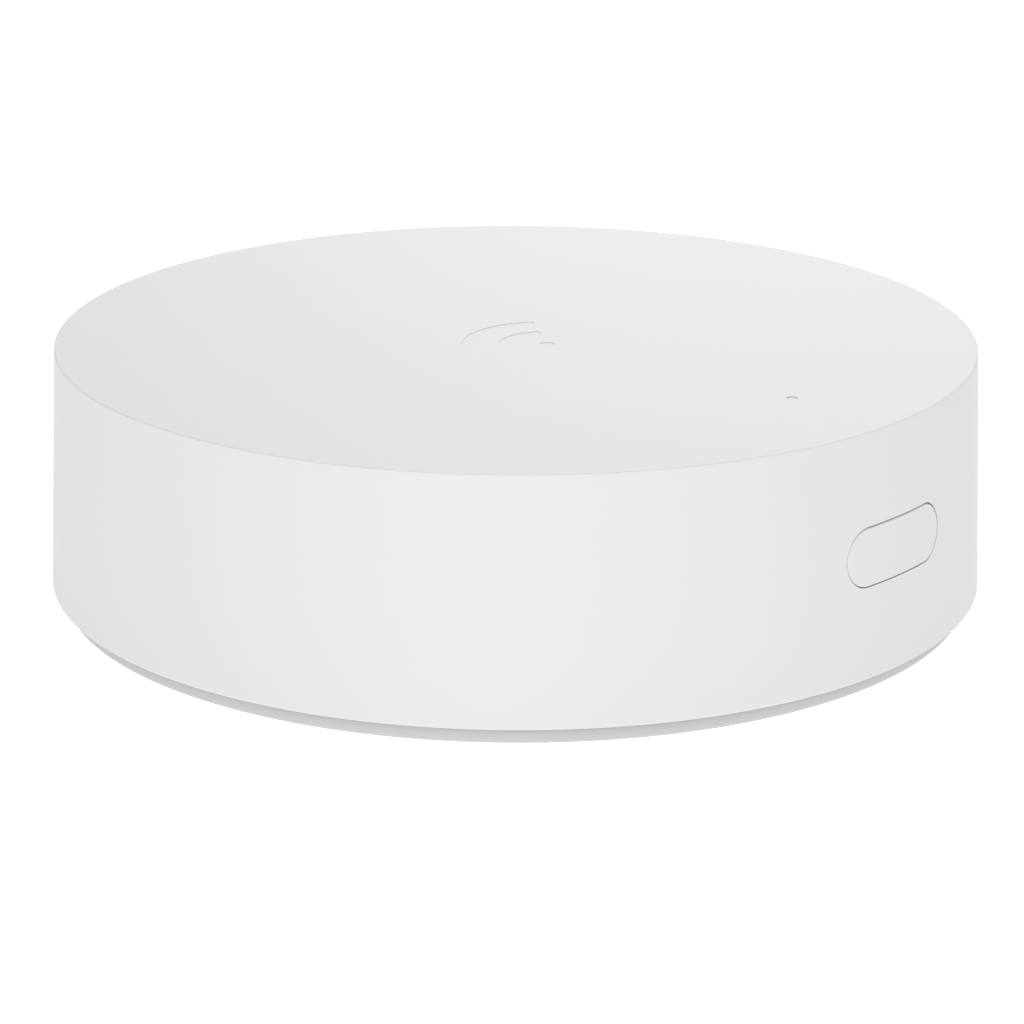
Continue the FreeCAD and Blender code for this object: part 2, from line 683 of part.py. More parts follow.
def add_antenna_holders(body):
    """Slotted holders under the roof for the two antenna strips."""
    middle = "antenna_back + antenna_sheet / 2"
    places = []
    for side in ("-", ""):
        for end in ("-holder_spacing / 2", "holder_spacing / 2"):
            places.append((f"{side}({middle})", end))
    sketch = new_sketch(body, "XY_Plane", z="antenna_top_z - holder_grip")
    for x, y in places:
        rectangle(sketch, x, y, "holder_thick", "holder_length")
    pad(body, sketch, "roof_z - antenna_top_z + holder_grip")
    slots = new_sketch(body, "XY_Plane", z="antenna_top_z - holder_grip")
    for x, y in places:
        rectangle(slots, x, y, "antenna_sheet + 2 * holder_fit", "holder_length + cut_spare")
    pocket(body, slots, "holder_grip", back=True)


def cut_button_opening(body):
    """Pill opening through the front wall, one gap larger than the button."""
    sketch = new_sketch(body, "XZ_Plane", y="-shell_radius - cut_spare", z="button_z")
    pill(sketch, "0", "0", "button_length + 2 * button_gap", "button_height + 2 * button_gap")
    pocket(body, sketch, "shell_radius + cut_spare - spring_face")


def cut_power_opening(body):
    """Shallow recess for the plug's body, and the opening that the power socket shows through."""
    recess = new_sketch(body, "XZ_Plane", y="shell_radius + cut_spare", z="socket_z")
    rounded_box(recess, "0", "0", "recess_width", "recess_height", "recess_corner")
    pocket(body, recess, "shell_radius + cut_spare - recess_floor", back=True)
    opening = new_sketch(body, "XZ_Plane", y="shell_radius + cut_spare", z="socket_z")
    rounded_box(opening, "0", "0", "socket_width + 2 * port_gap", "socket_height + 2 * port_gap",
                "port_corner")
    pocket(body, opening, "shell_radius + cut_spare - (recess_floor - wall)", back=True)


def cut_mark(body):
    """Plain wireless mark pressed into the top: a dot and two arcs, upright when seen from the front."""
    sketch = new_sketch(body, "XY_Plane", y="-mark_drop", z="overall_height")
    circle(sketch, "0", "0", "mark_dot / 2")
    for radius in ("mark_first", "mark_second"):
        arc_band(sketch, "0", "0", radius, "mark_stroke", "90", "mark_spread")
    pocket(body, sketch, "mark_depth")


# The base.

def make_base_cover():
    """Floor with a low rim and a spigot ring that fits inside the shell."""
    spigot_inside = "spigot_radius - spigot_wall"
    profile = [("0", "foot_stand"), ("base_radius", "foot_stand"), ("base_radius", "rim_top_z"),
               ("spigot_radius", "rim_top_z"), ("spigot_radius", "spigot_top_z"), (spigot_inside, "spigot_top_z"),
               (spigot_inside, "floor_top_z"), ("0", "floor_top_z")]
    body, dish = turned("base_cover", profile)
    soften(body, dish, "Fillet", "base_round", ring_edge("base_radius", "foot_stand"))

    case_places = [around("case_circle", angle) for angle in CASE_ANGLES]
    spreader_places = [("-spreader_post_x", "0"), ("spreader_post_x", "0")]
    posts(body, "floor_top_z", "case_pad_rise", case_places, "case_pad / 2")
    posts(body, "floor_top_z", "spreader_low_z - floor_top_z", spreader_places, "spreader_post / 2")

    foot_groove = new_sketch(body, "XY_Plane", z="foot_stand")
    for edge in ("case_circle + foot_width / 2 + foot_fit", "case_circle - foot_width / 2 - foot_fit"):
        circle(foot_groove, "0", "0", edge)
    pocket(body, foot_groove, "foot_sink", back=True)
    drill(body, "foot_stand", "label_recess", [("0", "0")], "label_diameter / 2 + label_fit")
    drill(body, "foot_top_z", "case_seat_z - foot_top_z", case_places, "case_head / 2 + screw_clear")
    drill(body, "foot_top_z", "case_pad_z - foot_top_z", case_places, "case_thread / 2 + screw_clear")
    drill(body, "floor_top_z", "spreader_low_z - floor_top_z", spreader_places,
          "spreader_thread / 2 + thread_fit")

    for y, width in (("-spigot_radius", "spigot_notch"), ("spigot_radius", "tab_width + 2 * notch_clear")):
        notch = new_sketch(body, "XY_Plane", z="floor_top_z")
        rectangle(notch, "0", y, width, "2 * (spigot_radius - switch_front)")
        pocket(body, notch, "spigot_top_z", back=True)


def make_foot_ring():
    """Rubber ring that the hub stands on, over the case screws."""
    inside = "case_circle - foot_width / 2"
    outside = "case_circle + foot_width / 2"
    profile = [(inside, "0"), (outside, "0"), (outside, "foot_top_z"), (inside, "foot_top_z")]
    body, ring = turned("foot_ring", profile)
    soften(body, ring, "Fillet", "foot_round", level_edge("0"))


def make_rating_label():
    """Blank film label in its recess."""
    low = "foot_stand + label_recess - label_film"
    body = new_body("rating_label")
    posts(body, low, "label_film", [("0", "0")], "label_diameter / 2")


# Screws.

def screw(label, places, seat_z, thread, length, head, head_height, head_down):
    """Like screws with cheese heads, at places on one level, their heads below or above the seat."""
    body = new_body(label, several=len(places) > 1)
    if head_down:
        levels = (seat_z, f"{seat_z} - ({head_height})", f"{seat_z} + {length}")
    else:
        levels = (seat_z, f"{seat_z} + {head_height}", f"{seat_z} - {length}")
    seat, head_end, thread_end = levels
    head_face = new_sketch(body, "XY_Plane", z=seat)
    thread_face = new_sketch(body, "XY_Plane", z=seat)
    for x, y in places:
        circle(head_face, x, y, f"{head} / 2")
        circle(thread_face, x, y, f"{thread} / 2")
    head_pad = pad(body, head_face, head_height, back=head_down)
    soften(body, head_pad, "Chamfer", "screw_clear", level_edge(head_end))
    thread_pad = pad(body, thread_face, length, back=not head_down)
    soften(body, thread_pad, "Chamfer", "screw_clear", level_edge(thread_end))
    drive = new_sketch(body, "XY_Plane", z=head_end)
    for x, y in places:
        outline(drive, [(f"{x} + drive_width / 2 * cos({turn})", f"{y} + drive_width / 2 * sin({turn})")
                        for turn in DRIVE_TURNS])
    pocket(body, drive, "drive_depth", back=head_down)


def make_screws():
    """The screws of the case, the board and the heat spreader."""
    screw("case_screws", [around("case_circle", angle) for angle in CASE_ANGLES], "case_seat_z",
          "case_thread", "case_thread_length", "case_head", "case_head_height", head_down=True)
    screw("board_screws", [around("board_circle", angle) for angle in BOARD_ANGLES], "board_low_z",
          "board_thread", "board_thread_length", "board_head", "board_head_height", head_down=True)
    screw("spreader_screws", [("-spreader_post_x", "0"), ("spreader_post_x", "0")], "spreader_top_z",
          "spreader_thread", "(spreader_top_z - floor_top_z - spreader_screw_end)", "spreader_head",
          "spreader_head_height", head_down=False)


# The circuit board and its parts.

def make_main_board():
    """Round board with notches for the case bosses, a tab under the power socket and one under the switch."""
    body = new_body("main_board")
    posts(body, "board_low_z", "board_thickness", [("0", "0")], "board_radius")
    rear_end = inner_at("board_top_z") + " - tab_clearance"
    for width, end in (("tab_width", rear_end), ("switch_tab_width", "-(switch_front + switch_margin)")):
        tab = new_sketch(body, "XY_Plane", z="board_low_z")
        rectangle(tab, "0", f"({end}) / 2", width, end)
        pad(body, tab, "board_thickness")
    case_places = [around("case_circle", angle) for angle in CASE_ANGLES]
    board_places = [around("board_circle", angle) for angle in BOARD_ANGLES]
    drill(body, "board_low_z", "board_thickness", case_places, "case_boss / 2 + notch_clear")
    drill(body, "board_low_z", "board_thickness", board_places, "board_thread / 2 + screw_clear")


def make_chips():
    """Flat packages on the board's top."""
    top = "board_top_z"
    middle_y = "-shield_forward"
    blocks("processor_chip", top, "processor_height",
           [("-processor_shift", middle_y, "processor_side", "processor_side")], "chip_break")
    blocks("memory_chip", top, "memory_height",
           [("memory_shift", middle_y, "memory_length", "memory_width")], "chip_break")
    blocks("flash_chip", top, "flash_height",
           [("flash_x", "flash_y", "flash_length", "flash_width")], "chip_break")
    blocks("radio_chip", top, "radio_height",
           [("radio_x", "radio_y", "radio_side", "radio_side")], "chip_break")
    blocks("crystals", top, "crystal_height",
           [("first_crystal_x", "first_crystal_y", "crystal_width", "crystal_length"),
            ("radio_x", "second_crystal_y", "crystal_length", "crystal_width")], "chip_break")
    blocks("ceramic_antenna", top, "tile_height",
           [("tile_x", "tile_y", "tile_width", "tile_length")], "chip_break")
    rows = [("-left_rows_x", "left_rows_y"), ("-left_rows_x", "left_rows_y + row_gap"),
            ("-front_rows_x", "-front_rows_y"), ("-front_rows_x", "-front_rows_y - row_gap"),
            ("right_row_x", "right_row_y")]
    places = []
    for x, y in rows:
        for step in range(PARTS_IN_ROW):
            places.append((f"{x} + {step} * passive_pitch", y, "passive_length", "passive_width"))
    blocks("small_passives", top, "passive_height", places)


def make_power_parts():
    """Inductors and can capacitors of the power supply."""
    coils = new_body("power_inductors", several=True)
    sketch = new_sketch(coils, "XY_Plane", z="board_top_z")
    for x, y in (("-inductor_x", "rear_inductor_y"), ("-inductor_x", "front_inductor_y")):
        rounded_box(sketch, x, y, "inductor_side", "inductor_side", "inductor_round")
    coil_pad = pad(coils, sketch, "inductor_height")
    soften(coils, coil_pad, "Chamfer", "chip_break", level_edge("board_top_z + inductor_height"))

    cans = new_body("can_capacitors", several=True)
    places = [("-left_can_x", "left_can_y"), ("right_can_x", "right_can_y")]
    feet = new_sketch(cans, "XY_Plane", z="board_top_z")
    for x, y in places:
        rectangle(feet, x, y, "can_diameter", "can_diameter")
    pad(cans, feet, "can_base")
    can_pad = posts(cans, "board_top_z + can_base", "can_height - can_base", places,
                    "can_diameter / 2 - can_inset")
    soften(cans, can_pad, "Fillet", "can_round",
           ring_edge("can_diameter / 2 - can_inset", "board_top_z + can_height"))


def make_shield():
    """Folded frame and snap-on lid over the processor and memory."""
    frame = new_body("shield_frame")
    sketch = new_sketch(frame, "XY_Plane", z="board_top_z")
    rounded_box(sketch, "0", "-shield_forward", "shield_length", "shield_width", "shield_corner")
    rounded_box(sketch, "0", "-shield_forward", "shield_length - 2 * shield_sheet",
                "shield_width - 2 * shield_sheet", "shield_corner - shield_sheet")
    pad(frame, sketch, "shield_height")

    lid = new_body("shield_lid")
    rim = new_sketch(lid, "XY_Plane", z="shield_top_z - shield_skirt")
    spread = "2 * (shield_fit + shield_sheet)"
    rounded_box(rim, "0", "-shield_forward", f"shield_length + {spread}", f"shield_width + {spread}",
                "shield_corner + shield_fit + shield_sheet")
    solid = pad(lid, rim, "shield_skirt + shield_sheet")
    soften(lid, solid, "Fillet", "shield_round", level_edge("shield_top_z + shield_sheet"))
    hollow = new_sketch(lid, "XY_Plane", z="shield_top_z - shield_skirt")
    rounded_box(hollow, "0", "-shield_forward", "shield_length + 2 * shield_fit",
                "shield_width + 2 * shield_fit", "shield_corner + shield_fit")
    pocket(lid, hollow, "shield_skirt", back=True)


def make_heat_path():
    """Pad from the processor to the lid, pad under the board and plate on the base's posts."""
    blocks("thermal_pad", "processor_top_z", "shield_top_z - processor_top_z",
           [("-processor_shift", "-shield_forward", "thermal_pad_side", "thermal_pad_side")])
    blocks("lower_thermal_pad", "spreader_top_z", "lower_pad_thick",
           [("-processor_shift", "-shield_forward", "lower_pad_side", "lower_pad_side")])
    plate = new_body("heat_spreader")
    disc = posts(plate, "spreader_low_z", "spreader_thick", [("0", "0")], "spreader_radius")
    soften(plate, disc, "Fillet", "spreader_round", lambda edge: isinstance(edge.Curve, Part.Circle))
    drill(plate, "spreader_low_z", "spreader_thick", [("-spreader_post_x", "0"), ("spreader_post_x", "0")],
          "spreader_thread / 2 + screw_clear")


def make_antennas():
    """Antenna strips in their holders, their connectors on the board and the leads between them."""
    sides = (("left", "-"), ("right", ""))
    sockets = []
    for name, sign in sides:
        middle = f"{sign}(antenna_back + antenna_sheet / 2)"
        blocks(name + "_antenna", "antenna_low_z", "antenna_height",
               [(middle, "0", "antenna_sheet", "antenna_length")])
        sockets.append((f"{sign}connector_x", "-lead_offset", "connector_side", "connector_side"))
        make_lead(name + "_antenna_lead", sign)
    blocks("antenna_connectors", "board_top_z", "connector_height", sockets, "chip_break")


def make_lead(label, sign):
    """Thin coaxial lead from its connector, out along the board, then up the antenna strip."""
    body = new_body(label)
    start_x = f"{sign}(connector_x + connector_side / 2)"
    end_x = f"{sign}lead_x"
    end_z = "antenna_low_z + lead_rise"
    turn = 1 if sign == "" else -1
    bend = number("lead_bend")
    corner = Vector(number(end_x), number("lead_z"), 0)
    begin = Vector(number(start_x), number("lead_z"), 0)
    end = Vector(number(end_x), number(end_z), 0)
    bend_start = corner - Vector(turn * bend, 0, 0)
    bend_end = corner + Vector(0, bend, 0)
    inset = number("lead_bend * (1 - cos(45))")
    middle = corner + Vector(-turn * inset, inset, 0)
    path = new_sketch(body, "XZ_Plane", y="-lead_offset")
    level = path.addGeometry(Part.LineSegment(begin, bend_start))
    curve = path.addGeometry(Part.Arc(bend_start, middle, bend_end))
    rise = path.addGeometry(Part.LineSegment(bend_end, end))
    first, last = (1, 2) if (path.getPoint(curve, 1) - bend_start).Length < NEAR else (2, 1)
    path.addConstraint(Sketcher.Constraint("Tangent", level, 2, curve, first))
    path.addConstraint(Sketcher.Constraint("Tangent", curve, last, rise, 1))
    path.addConstraint(Sketcher.Constraint("Horizontal", level))
    path.addConstraint(Sketcher.Constraint("Vertical", rise))
    set_radius(path, curve, "lead_bend")
    pin_point(path, level, 1, start_x, "lead_z")
    pin_point(path, rise, 2, end_x, end_z)
    section = new_sketch(body, "YZ_Plane", x=start_x, y="-lead_offset", z="lead_z")
    circle(section, "0", "0", "lead_diameter / 2")
    pipe = body.newObject("PartDesign::AdditivePipe", label + "_pipe")
    pipe.Profile = section
    pipe.Spine = path


# The power socket.

def socket_outline(sketch, sheet_in):
    """Section of the socket's metal shell, its lower corners cut in, shrunk by sheet_in all round."""
    half = f"(socket_width / 2 - {sheet_in})"
    high = f"(socket_height / 2 - {sheet_in})"
    foot = f"(socket_width / 2 - socket_taper - {sheet_in} * tan(atan(socket_height / 2 / socket_taper) / 2))"
    outline(sketch, [(f"-{foot}", f"-{high}"), (foot, f"-{high}"), (half, "0"), (half, high),
                     (f"-{half}", high), (f"-{half}", "0")])


def make_power_socket():
    """Small power receptacle at the rear edge of the board: shell, tongue and contacts."""
    shell = new_body("power_socket_shell")
    outside = new_sketch(shell, "XZ_Plane", y="socket_mouth", z="socket_z")
    socket_outline(outside, "0")
    pad(shell, outside, "socket_depth")
    inside = new_sketch(shell, "XZ_Plane", y="socket_mouth", z="socket_z")
    socket_outline(inside, "socket_sheet")
    pocket(shell, inside, "socket_depth - socket_sheet", back=True)

    back_y = "socket_mouth - socket_depth + socket_sheet"
    tongue_z = "socket_z + socket_height / 2 - socket_sheet - tongue_drop - tongue_thick / 2"
    tongue = new_body("power_socket_tongue")
    section = new_sketch(tongue, "XZ_Plane", y=back_y, z=tongue_z)
    rectangle(section, "0", "0", "tongue_width", "tongue_thick")
    pad(tongue, section, "tongue_reach", back=True)

    contacts = new_body("power_socket_contacts", several=True)
    contact_z = f"{tongue_z} - tongue_thick / 2 - contact_thick / 2"
    strips = new_sketch(contacts, "XZ_Plane", y=back_y, z=contact_z)
    for step in CONTACT_STEPS:
        rectangle(strips, f"{step} * contact_pitch", "0", "contact_width", "contact_thick")
    pad(contacts, strips, "contact_reach", back=True)


# The button and its switch.

def outside_of(body, radius_at, low, high):
    """Cut away all that lies outside a drafted wall between two heights."""
    sketch = new_sketch(body, "XZ_Plane")
    far = "shell_radius + button_length"
    outline(sketch, [(radius_at(low), low), (far, low), (far, high), (radius_at(high), high)])
    groove(body, sketch)


def make_button():
    """Pill button flush with the wall, its flange behind the wall and its peg towards the switch."""
    body = new_body("button_cap")
    low = "(button_z - button_height)"
    high = "(button_z + button_height)"
    flange = new_sketch(body, "XZ_Plane", y="-spring_face", z="button_z")
    pill(flange, "0", "0", "button_length + 2 * button_flange", "button_height + 2 * button_flange")
    pad(body, flange, "shell_radius - spring_face")
    outside_of(body, lambda level: inner_at(level) + " - flange_gap", low, high)
    face = new_sketch(body, "XZ_Plane", y="-spring_face", z="button_z")
    pill(face, "0", "0", "button_length", "button_height")
    pad(body, face, "shell_radius - spring_face")
    outside_of(body, outer_at, low, high)
    peg = new_sketch(body, "XZ_Plane", y="-spring_face", z="button_z")
    circle(peg, "0", "0", "actuator / 2")
    pad(body, peg, "spring_face - plunger_tip - actuator_gap", back=True)


def make_button_spring():
    """Thin strip that holds the button forward, staked to a post at each end."""
    body = new_body("button_spring")
    sketch = new_sketch(body, "XZ_Plane", y="-spring_back", z="button_z")
    rounded_box(sketch, "0", "0", "2 * spring_half", "spring_width", "spring_corner")
    circle(sketch, "0", "0", "spring_hole / 2")
    for side in ("-", ""):
        circle(sketch, f"{side}post_x", "0", "stake / 2 + stake_fit")
        window_x = f"{side}(post_x - post_width / 2 - spring_window_length / 2)"
        pill(sketch, window_x, "0", "spring_window_length", "spring_window")
    pad(body, sketch, "spring_sheet")


def turned_switch_part(label, profile):
    """A body turned about the switch's own axis, its profile given as reach from the case axis and radius."""
    body = new_body(label)
    sketch = new_sketch(body, "YZ_Plane", z="button_z")
    outline(sketch, [(f"-({reach})", radius) for reach, radius in profile])
    revolve(body, sketch, "H_Axis")
    return body


def make_switch():
    """Side-push switch at the front edge of the board: base, snap dome, cover plate and plunger."""
    base = new_body("switch_base")
    front = new_sketch(base, "XZ_Plane", y="-switch_body_front", z="button_z")
    rectangle(front, "0", "0", "switch_width", "switch_height")
    pad(base, front, "switch_depth", back=True)
    cavity = new_sketch(base, "XZ_Plane", y="-switch_body_front", z="button_z")
    circle(cavity, "0", "0", "switch_cavity / 2")
    pocket(base, cavity, "switch_body_front - dome_foot + dome_play")

    cover = new_body("switch_cover")
    plate = new_sketch(cover, "XZ_Plane", y="-switch_body_front", z="button_z")
    rectangle(plate, "0", "0", "switch_width", "switch_height")
    circle(plate, "0", "0", "plunger_stem / 2 + plunger_stem_fit")
    pad(cover, plate, "cover_sheet")

    flange_back = "plunger_flange_front - plunger_flange_thick"
    turned_switch_part("switch_plunger", [(flange_back, "0"), (flange_back, "plunger_flange / 2"),
                                          ("plunger_flange_front", "plunger_flange / 2"),
                                          ("plunger_flange_front", "plunger_stem / 2"),
                                          ("plunger_tip", "plunger_stem / 2"), ("plunger_tip", "0")])
    knee = "dome_diameter / 4"
    turned_switch_part("switch_dome", [("dome_top", "0"), ("dome_top - dome_sheet", knee),
                                       ("dome_foot + dome_sheet", "dome_diameter / 2"),
                                       ("dome_foot", "dome_diameter / 2"),
                                       ("dome_foot", "dome_diameter / 2 - dome_sheet * 2"),
                                       ("dome_top - 2 * dome_sheet", f"{knee} - dome_sheet"),
                                       ("dome_top - dome_sheet", "0")])


# The status light.

def make_status_light():
    """Light package on the board, foam shroud round it and clear pipe up to the top."""
    y = "-light_radius"
    blocks("status_led", "board_top_z", "led_height", [("0", y, "led_length", "led_width")])
    shroud = new_body("light_shroud")
    rings = new_sketch(shroud, "XY_Plane", y=y, z="board_top_z")
    circle(rings, "0", "0", "shroud_bore / 2 + shroud_wall")
    circle(rings, "0", "0", "shroud_bore / 2")
    pad(shroud, rings, "shroud_height")
    collar_z = "roof_z - light_collar_height"
    turned("light_pipe", [("0", "stem_z"), ("light_stem / 2", "stem_z"), ("light_stem / 2", collar_z),
                          ("light_collar / 2", collar_z), ("light_collar / 2", "roof_z"),
                          ("light_tip / 2", "roof_z"), ("light_tip / 2", "overall_height - light_sink"),
                          ("0", "overall_height - light_sink")], y=y)


def write_parts():
    """Check every object and every sub-part's solid, then write one STEP file for each sub-part."""
    doc.recompute()
    for item in doc.Objects:
        if "Invalid" in item.State or "Error" in item.State:
            raise RuntimeError(f"{item.Label} did not build: {item.State}")
    bodies = [item for item in doc.Objects if item.TypeId == "PartDesign::Body"]
    for body in bodies:
        shape = body.Shape
        if shape.isNull() or not shape.isValid() or not shape.Solids:
            raise RuntimeError(f"{body.Label} has no valid solid")
    os.makedirs("parts", exist_ok=True)
    for body in bodies:
        body.Shape.exportStep(os.path.join("parts", body.Label + ".step"))
        print(f"{body.Label}: {len(body.Shape.Solids)} solid(s), {body.Shape.Volume:.2f} mm3")


make_top_housing()
make_base_cover()
make_foot_ring()
make_rating_label()
make_screws()
make_main_board()
make_chips()
make_power_parts()
make_shield()
make_heat_path()
make_antennas()
make_power_socket()
make_button()
make_button_spring()
make_switch()
make_status_light()
write_parts()
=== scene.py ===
"""Visual model of a round smart home hub: a white drafted puck with a side button, built round its frame.

Lengths are written in millimetres and multiplied by MM; Blender works in metres. Z is up, the button faces -Y
and the power socket faces +Y.
"""

from __future__ import annotations

import logging
import math
from contextlib import contextmanager
from dataclasses import dataclass, field
from enum import IntEnum, StrEnum
from typing import Callable, Iterable, Iterator, Sequence

import bmesh
import bpy
from mathutils import Matrix, Vector


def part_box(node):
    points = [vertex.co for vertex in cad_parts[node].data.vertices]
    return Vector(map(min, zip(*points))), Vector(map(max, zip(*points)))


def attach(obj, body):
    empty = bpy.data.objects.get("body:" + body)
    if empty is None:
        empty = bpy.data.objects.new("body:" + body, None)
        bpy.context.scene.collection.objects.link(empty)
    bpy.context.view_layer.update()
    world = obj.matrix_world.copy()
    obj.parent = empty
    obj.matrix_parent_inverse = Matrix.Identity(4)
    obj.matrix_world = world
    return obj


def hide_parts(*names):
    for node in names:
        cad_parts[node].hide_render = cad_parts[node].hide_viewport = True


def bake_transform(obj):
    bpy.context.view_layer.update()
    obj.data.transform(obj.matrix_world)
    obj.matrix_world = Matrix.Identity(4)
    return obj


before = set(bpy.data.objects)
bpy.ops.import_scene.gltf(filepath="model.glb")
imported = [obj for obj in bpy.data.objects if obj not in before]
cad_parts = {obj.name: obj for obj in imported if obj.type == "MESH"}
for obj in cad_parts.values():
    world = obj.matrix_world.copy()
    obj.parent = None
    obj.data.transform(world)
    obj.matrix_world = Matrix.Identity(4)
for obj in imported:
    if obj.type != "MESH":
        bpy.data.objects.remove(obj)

MM = 0.001
NEAR = 1e-6
WELD = 1e-7
TURN_STEPS = 288
POST_STEPS = 40
CASE_TURNS = (45, 135, 225, 315)
BOARD_TURNS = (90, 200, 340)
LOG = logging.getLogger("hub")

Place = tuple[float, float]


class Body(StrEnum):
    """The bodies that a piece can move with."""

    HOUSING = "housing"
    BUTTON = "button"
    PLUNGER = "plunger"


class Side(IntEnum):
    """Left or right of the middle, seen from the button's side."""

    LEFT = -1
    RIGHT = 1


# ---------------------------------------------------------------------------------------------------------------
# Mesh helpers


def finish_mesh(name: str, bm: bmesh.types.BMesh, sharp_angle: float = 40.0) -> bpy.types.Object:
    """Turn a bmesh into an object at the origin with smooth faces and sharp creases.

    Args:
        name: The piece's name.
        bm: The finished bmesh, which is freed.
        sharp_angle: Degrees between two faces above which their edge stays sharp.

    Returns:
        The new object, linked to the scene.
    """
    mesh = bpy.data.meshes.new(name)
    bm.to_mesh(mesh)
    bm.free()
    piece = bpy.data.objects.new(name, mesh)
    bpy.context.scene.collection.objects.link(piece)
    soften_shading(piece, sharp_angle)
    return piece


def soften_shading(piece: bpy.types.Object, sharp_angle: float = 40.0) -> None:
    """Shade a piece smooth, except across edges sharper than sharp_angle degrees."""
    piece.data.shade_smooth()
    piece.data.set_sharp_from_angle(angle=math.radians(sharp_angle))


def even_normals(piece: bpy.types.Object) -> None:
    """Weigh a piece's normals by face area, so that its broad faces stay flat."""
    weighted = piece.modifiers.new("even normals", "WEIGHTED_NORMAL")
    weighted.keep_sharp = True


@contextmanager
def editing(piece: bpy.types.Object) -> Iterator[bmesh.types.BMesh]:
    """Open a piece's mesh as a bmesh and write it back afterwards.

    Args:
        piece: The piece to change.

    Yields:
        Its bmesh.
    """
    bm = bmesh.new()
    bm.from_mesh(piece.data)
    yield bm
    bm.to_mesh(piece.data)
    bm.free()


def places_on(circle: float, turns: Sequence[float]) -> list[Place]:
    """Places on a circle about the case axis, one for each turn in degrees."""
    return [(circle * math.cos(math.radians(turn)), circle * math.sin(math.radians(turn))) for turn in turns]


def spin_outline(bm: bmesh.types.BMesh, outline: Sequence[Place], steps: int = TURN_STEPS,
                 centre: Place = (0.0, 0.0)) -> None:
    """Spin an open outline once round an upright axis and close what stays open.

    Args:
        bm: The bmesh to add to.
        outline: Points as radius and height in metres, from one end of the skin to the other.
        steps: Number of steps in the turn.
        centre: Where the axis stands.
    """
    verts = [bm.verts.new((centre[0] + radius, centre[1], height)) for radius, height in outline]
    edges = [bm.edges.new(pair) for pair in zip(verts, verts[1:])]
    bmesh.ops.spin(bm, geom=verts + edges, cent=(*centre, 0.0), axis=(0, 0, 1), angle=math.tau, steps=steps,
                   use_merge=True, use_duplicate=False)
    bmesh.ops.remove_doubles(bm, verts=bm.verts, dist=WELD)
    close_mesh(bm)


def close_mesh(bm: bmesh.types.BMesh) -> None:
    """Fill every open rim with a face and turn all faces outward.

    Args:
        bm: The bmesh to close.
    """
    open_edges = [edge for edge in bm.edges if edge.is_boundary]
    if open_edges:
        bmesh.ops.holes_fill(bm, edges=open_edges, sides=0)
    bmesh.ops.recalc_face_normals(bm, faces=bm.faces)


def add_tube(bm: bmesh.types.BMesh, centre: Place, inner: float, outer: float, low: float, high: float) -> None:
    """Add an upright tube with a closed wall, or a plain post where inner is zero.

    Args:
        bm: The bmesh to add to.
        centre: Where its axis stands.
        inner: Inner radius, or zero for a post.
        outer: Outer radius.
        low: Lowest height.
        high: Highest height.
    """
    part = bmesh.new()
    if inner > 0:
        corners = [(outer, low), (outer, high), (inner, high), (inner, low), (outer, low)]
    else:
        corners = [(0.0, low), (outer, low), (outer, high), (0.0, high)]
    spin_outline(part, corners, POST_STEPS, centre)
    merge_into(bm, part)


def merge_into(bm: bmesh.types.BMesh, part: bmesh.types.BMesh) -> None:
    """Copy a finished part into bm and free it.

    Args:
        bm: The bmesh to add to.
        part: The part, which is freed.
    """
    carrier = bpy.data.meshes.new("carrier")
    part.to_mesh(carrier)
    part.free()
    bm.from_mesh(carrier)
    bpy.data.meshes.remove(carrier)


def bevel_edges(bm: bmesh.types.BMesh, edges: Sequence[bmesh.types.BMEdge], width: float, segments: int) -> None:
    """Round the given edges with an even bevel."""
    bmesh.ops.bevel(bm, geom=list(edges), offset=width, offset_type="OFFSET", segments=segments, profile=0.5,
                    affect="EDGES", clamp_overlap=True, material=-1)


def ring_edges(bm: bmesh.types.BMesh, radius: float, height: float) -> list[bmesh.types.BMEdge]:
    """Edges of the level ring at a radius and height about the case axis.

    Args:
        bm: The bmesh to look in.
        radius: The ring's radius.
        height: The ring's height.

    Returns:
        The edges of that ring.
    """
    def on_ring(vert: bmesh.types.BMVert) -> bool:
        """Whether a corner lies on the ring."""
        return abs(vert.co.z - height) < 2 * NEAR and abs(vert.co.xy.length - radius) < 2 * NEAR

    return [edge for edge in bm.edges if all(on_ring(vert) for vert in edge.verts)]


def add_box(bm: bmesh.types.BMesh, low: Sequence[float], high: Sequence[float], bevel: float = 0.0,
            segments: int = 2) -> None:
    """Add an upright box between two corners, its edges rounded by bevel.

    Args:
        bm: The bmesh to add to.
        low: Its lowest corner.
        high: Its highest corner.
        bevel: Width of the rounding, or zero for none.
        segments: Steps in the rounding.
    """
    part = bmesh.new()
    size = [top - bottom for bottom, top in zip(low, high)]
    middle = [(top + bottom) / 2 for bottom, top in zip(low, high)]
    bmesh.ops.create_cube(part, size=1.0, matrix=Matrix.Translation(middle) @ Matrix.Diagonal((*size, 1.0)))
    if bevel:
        bevel_edges(part, part.edges, bevel, segments)
    merge_into(bm, part)


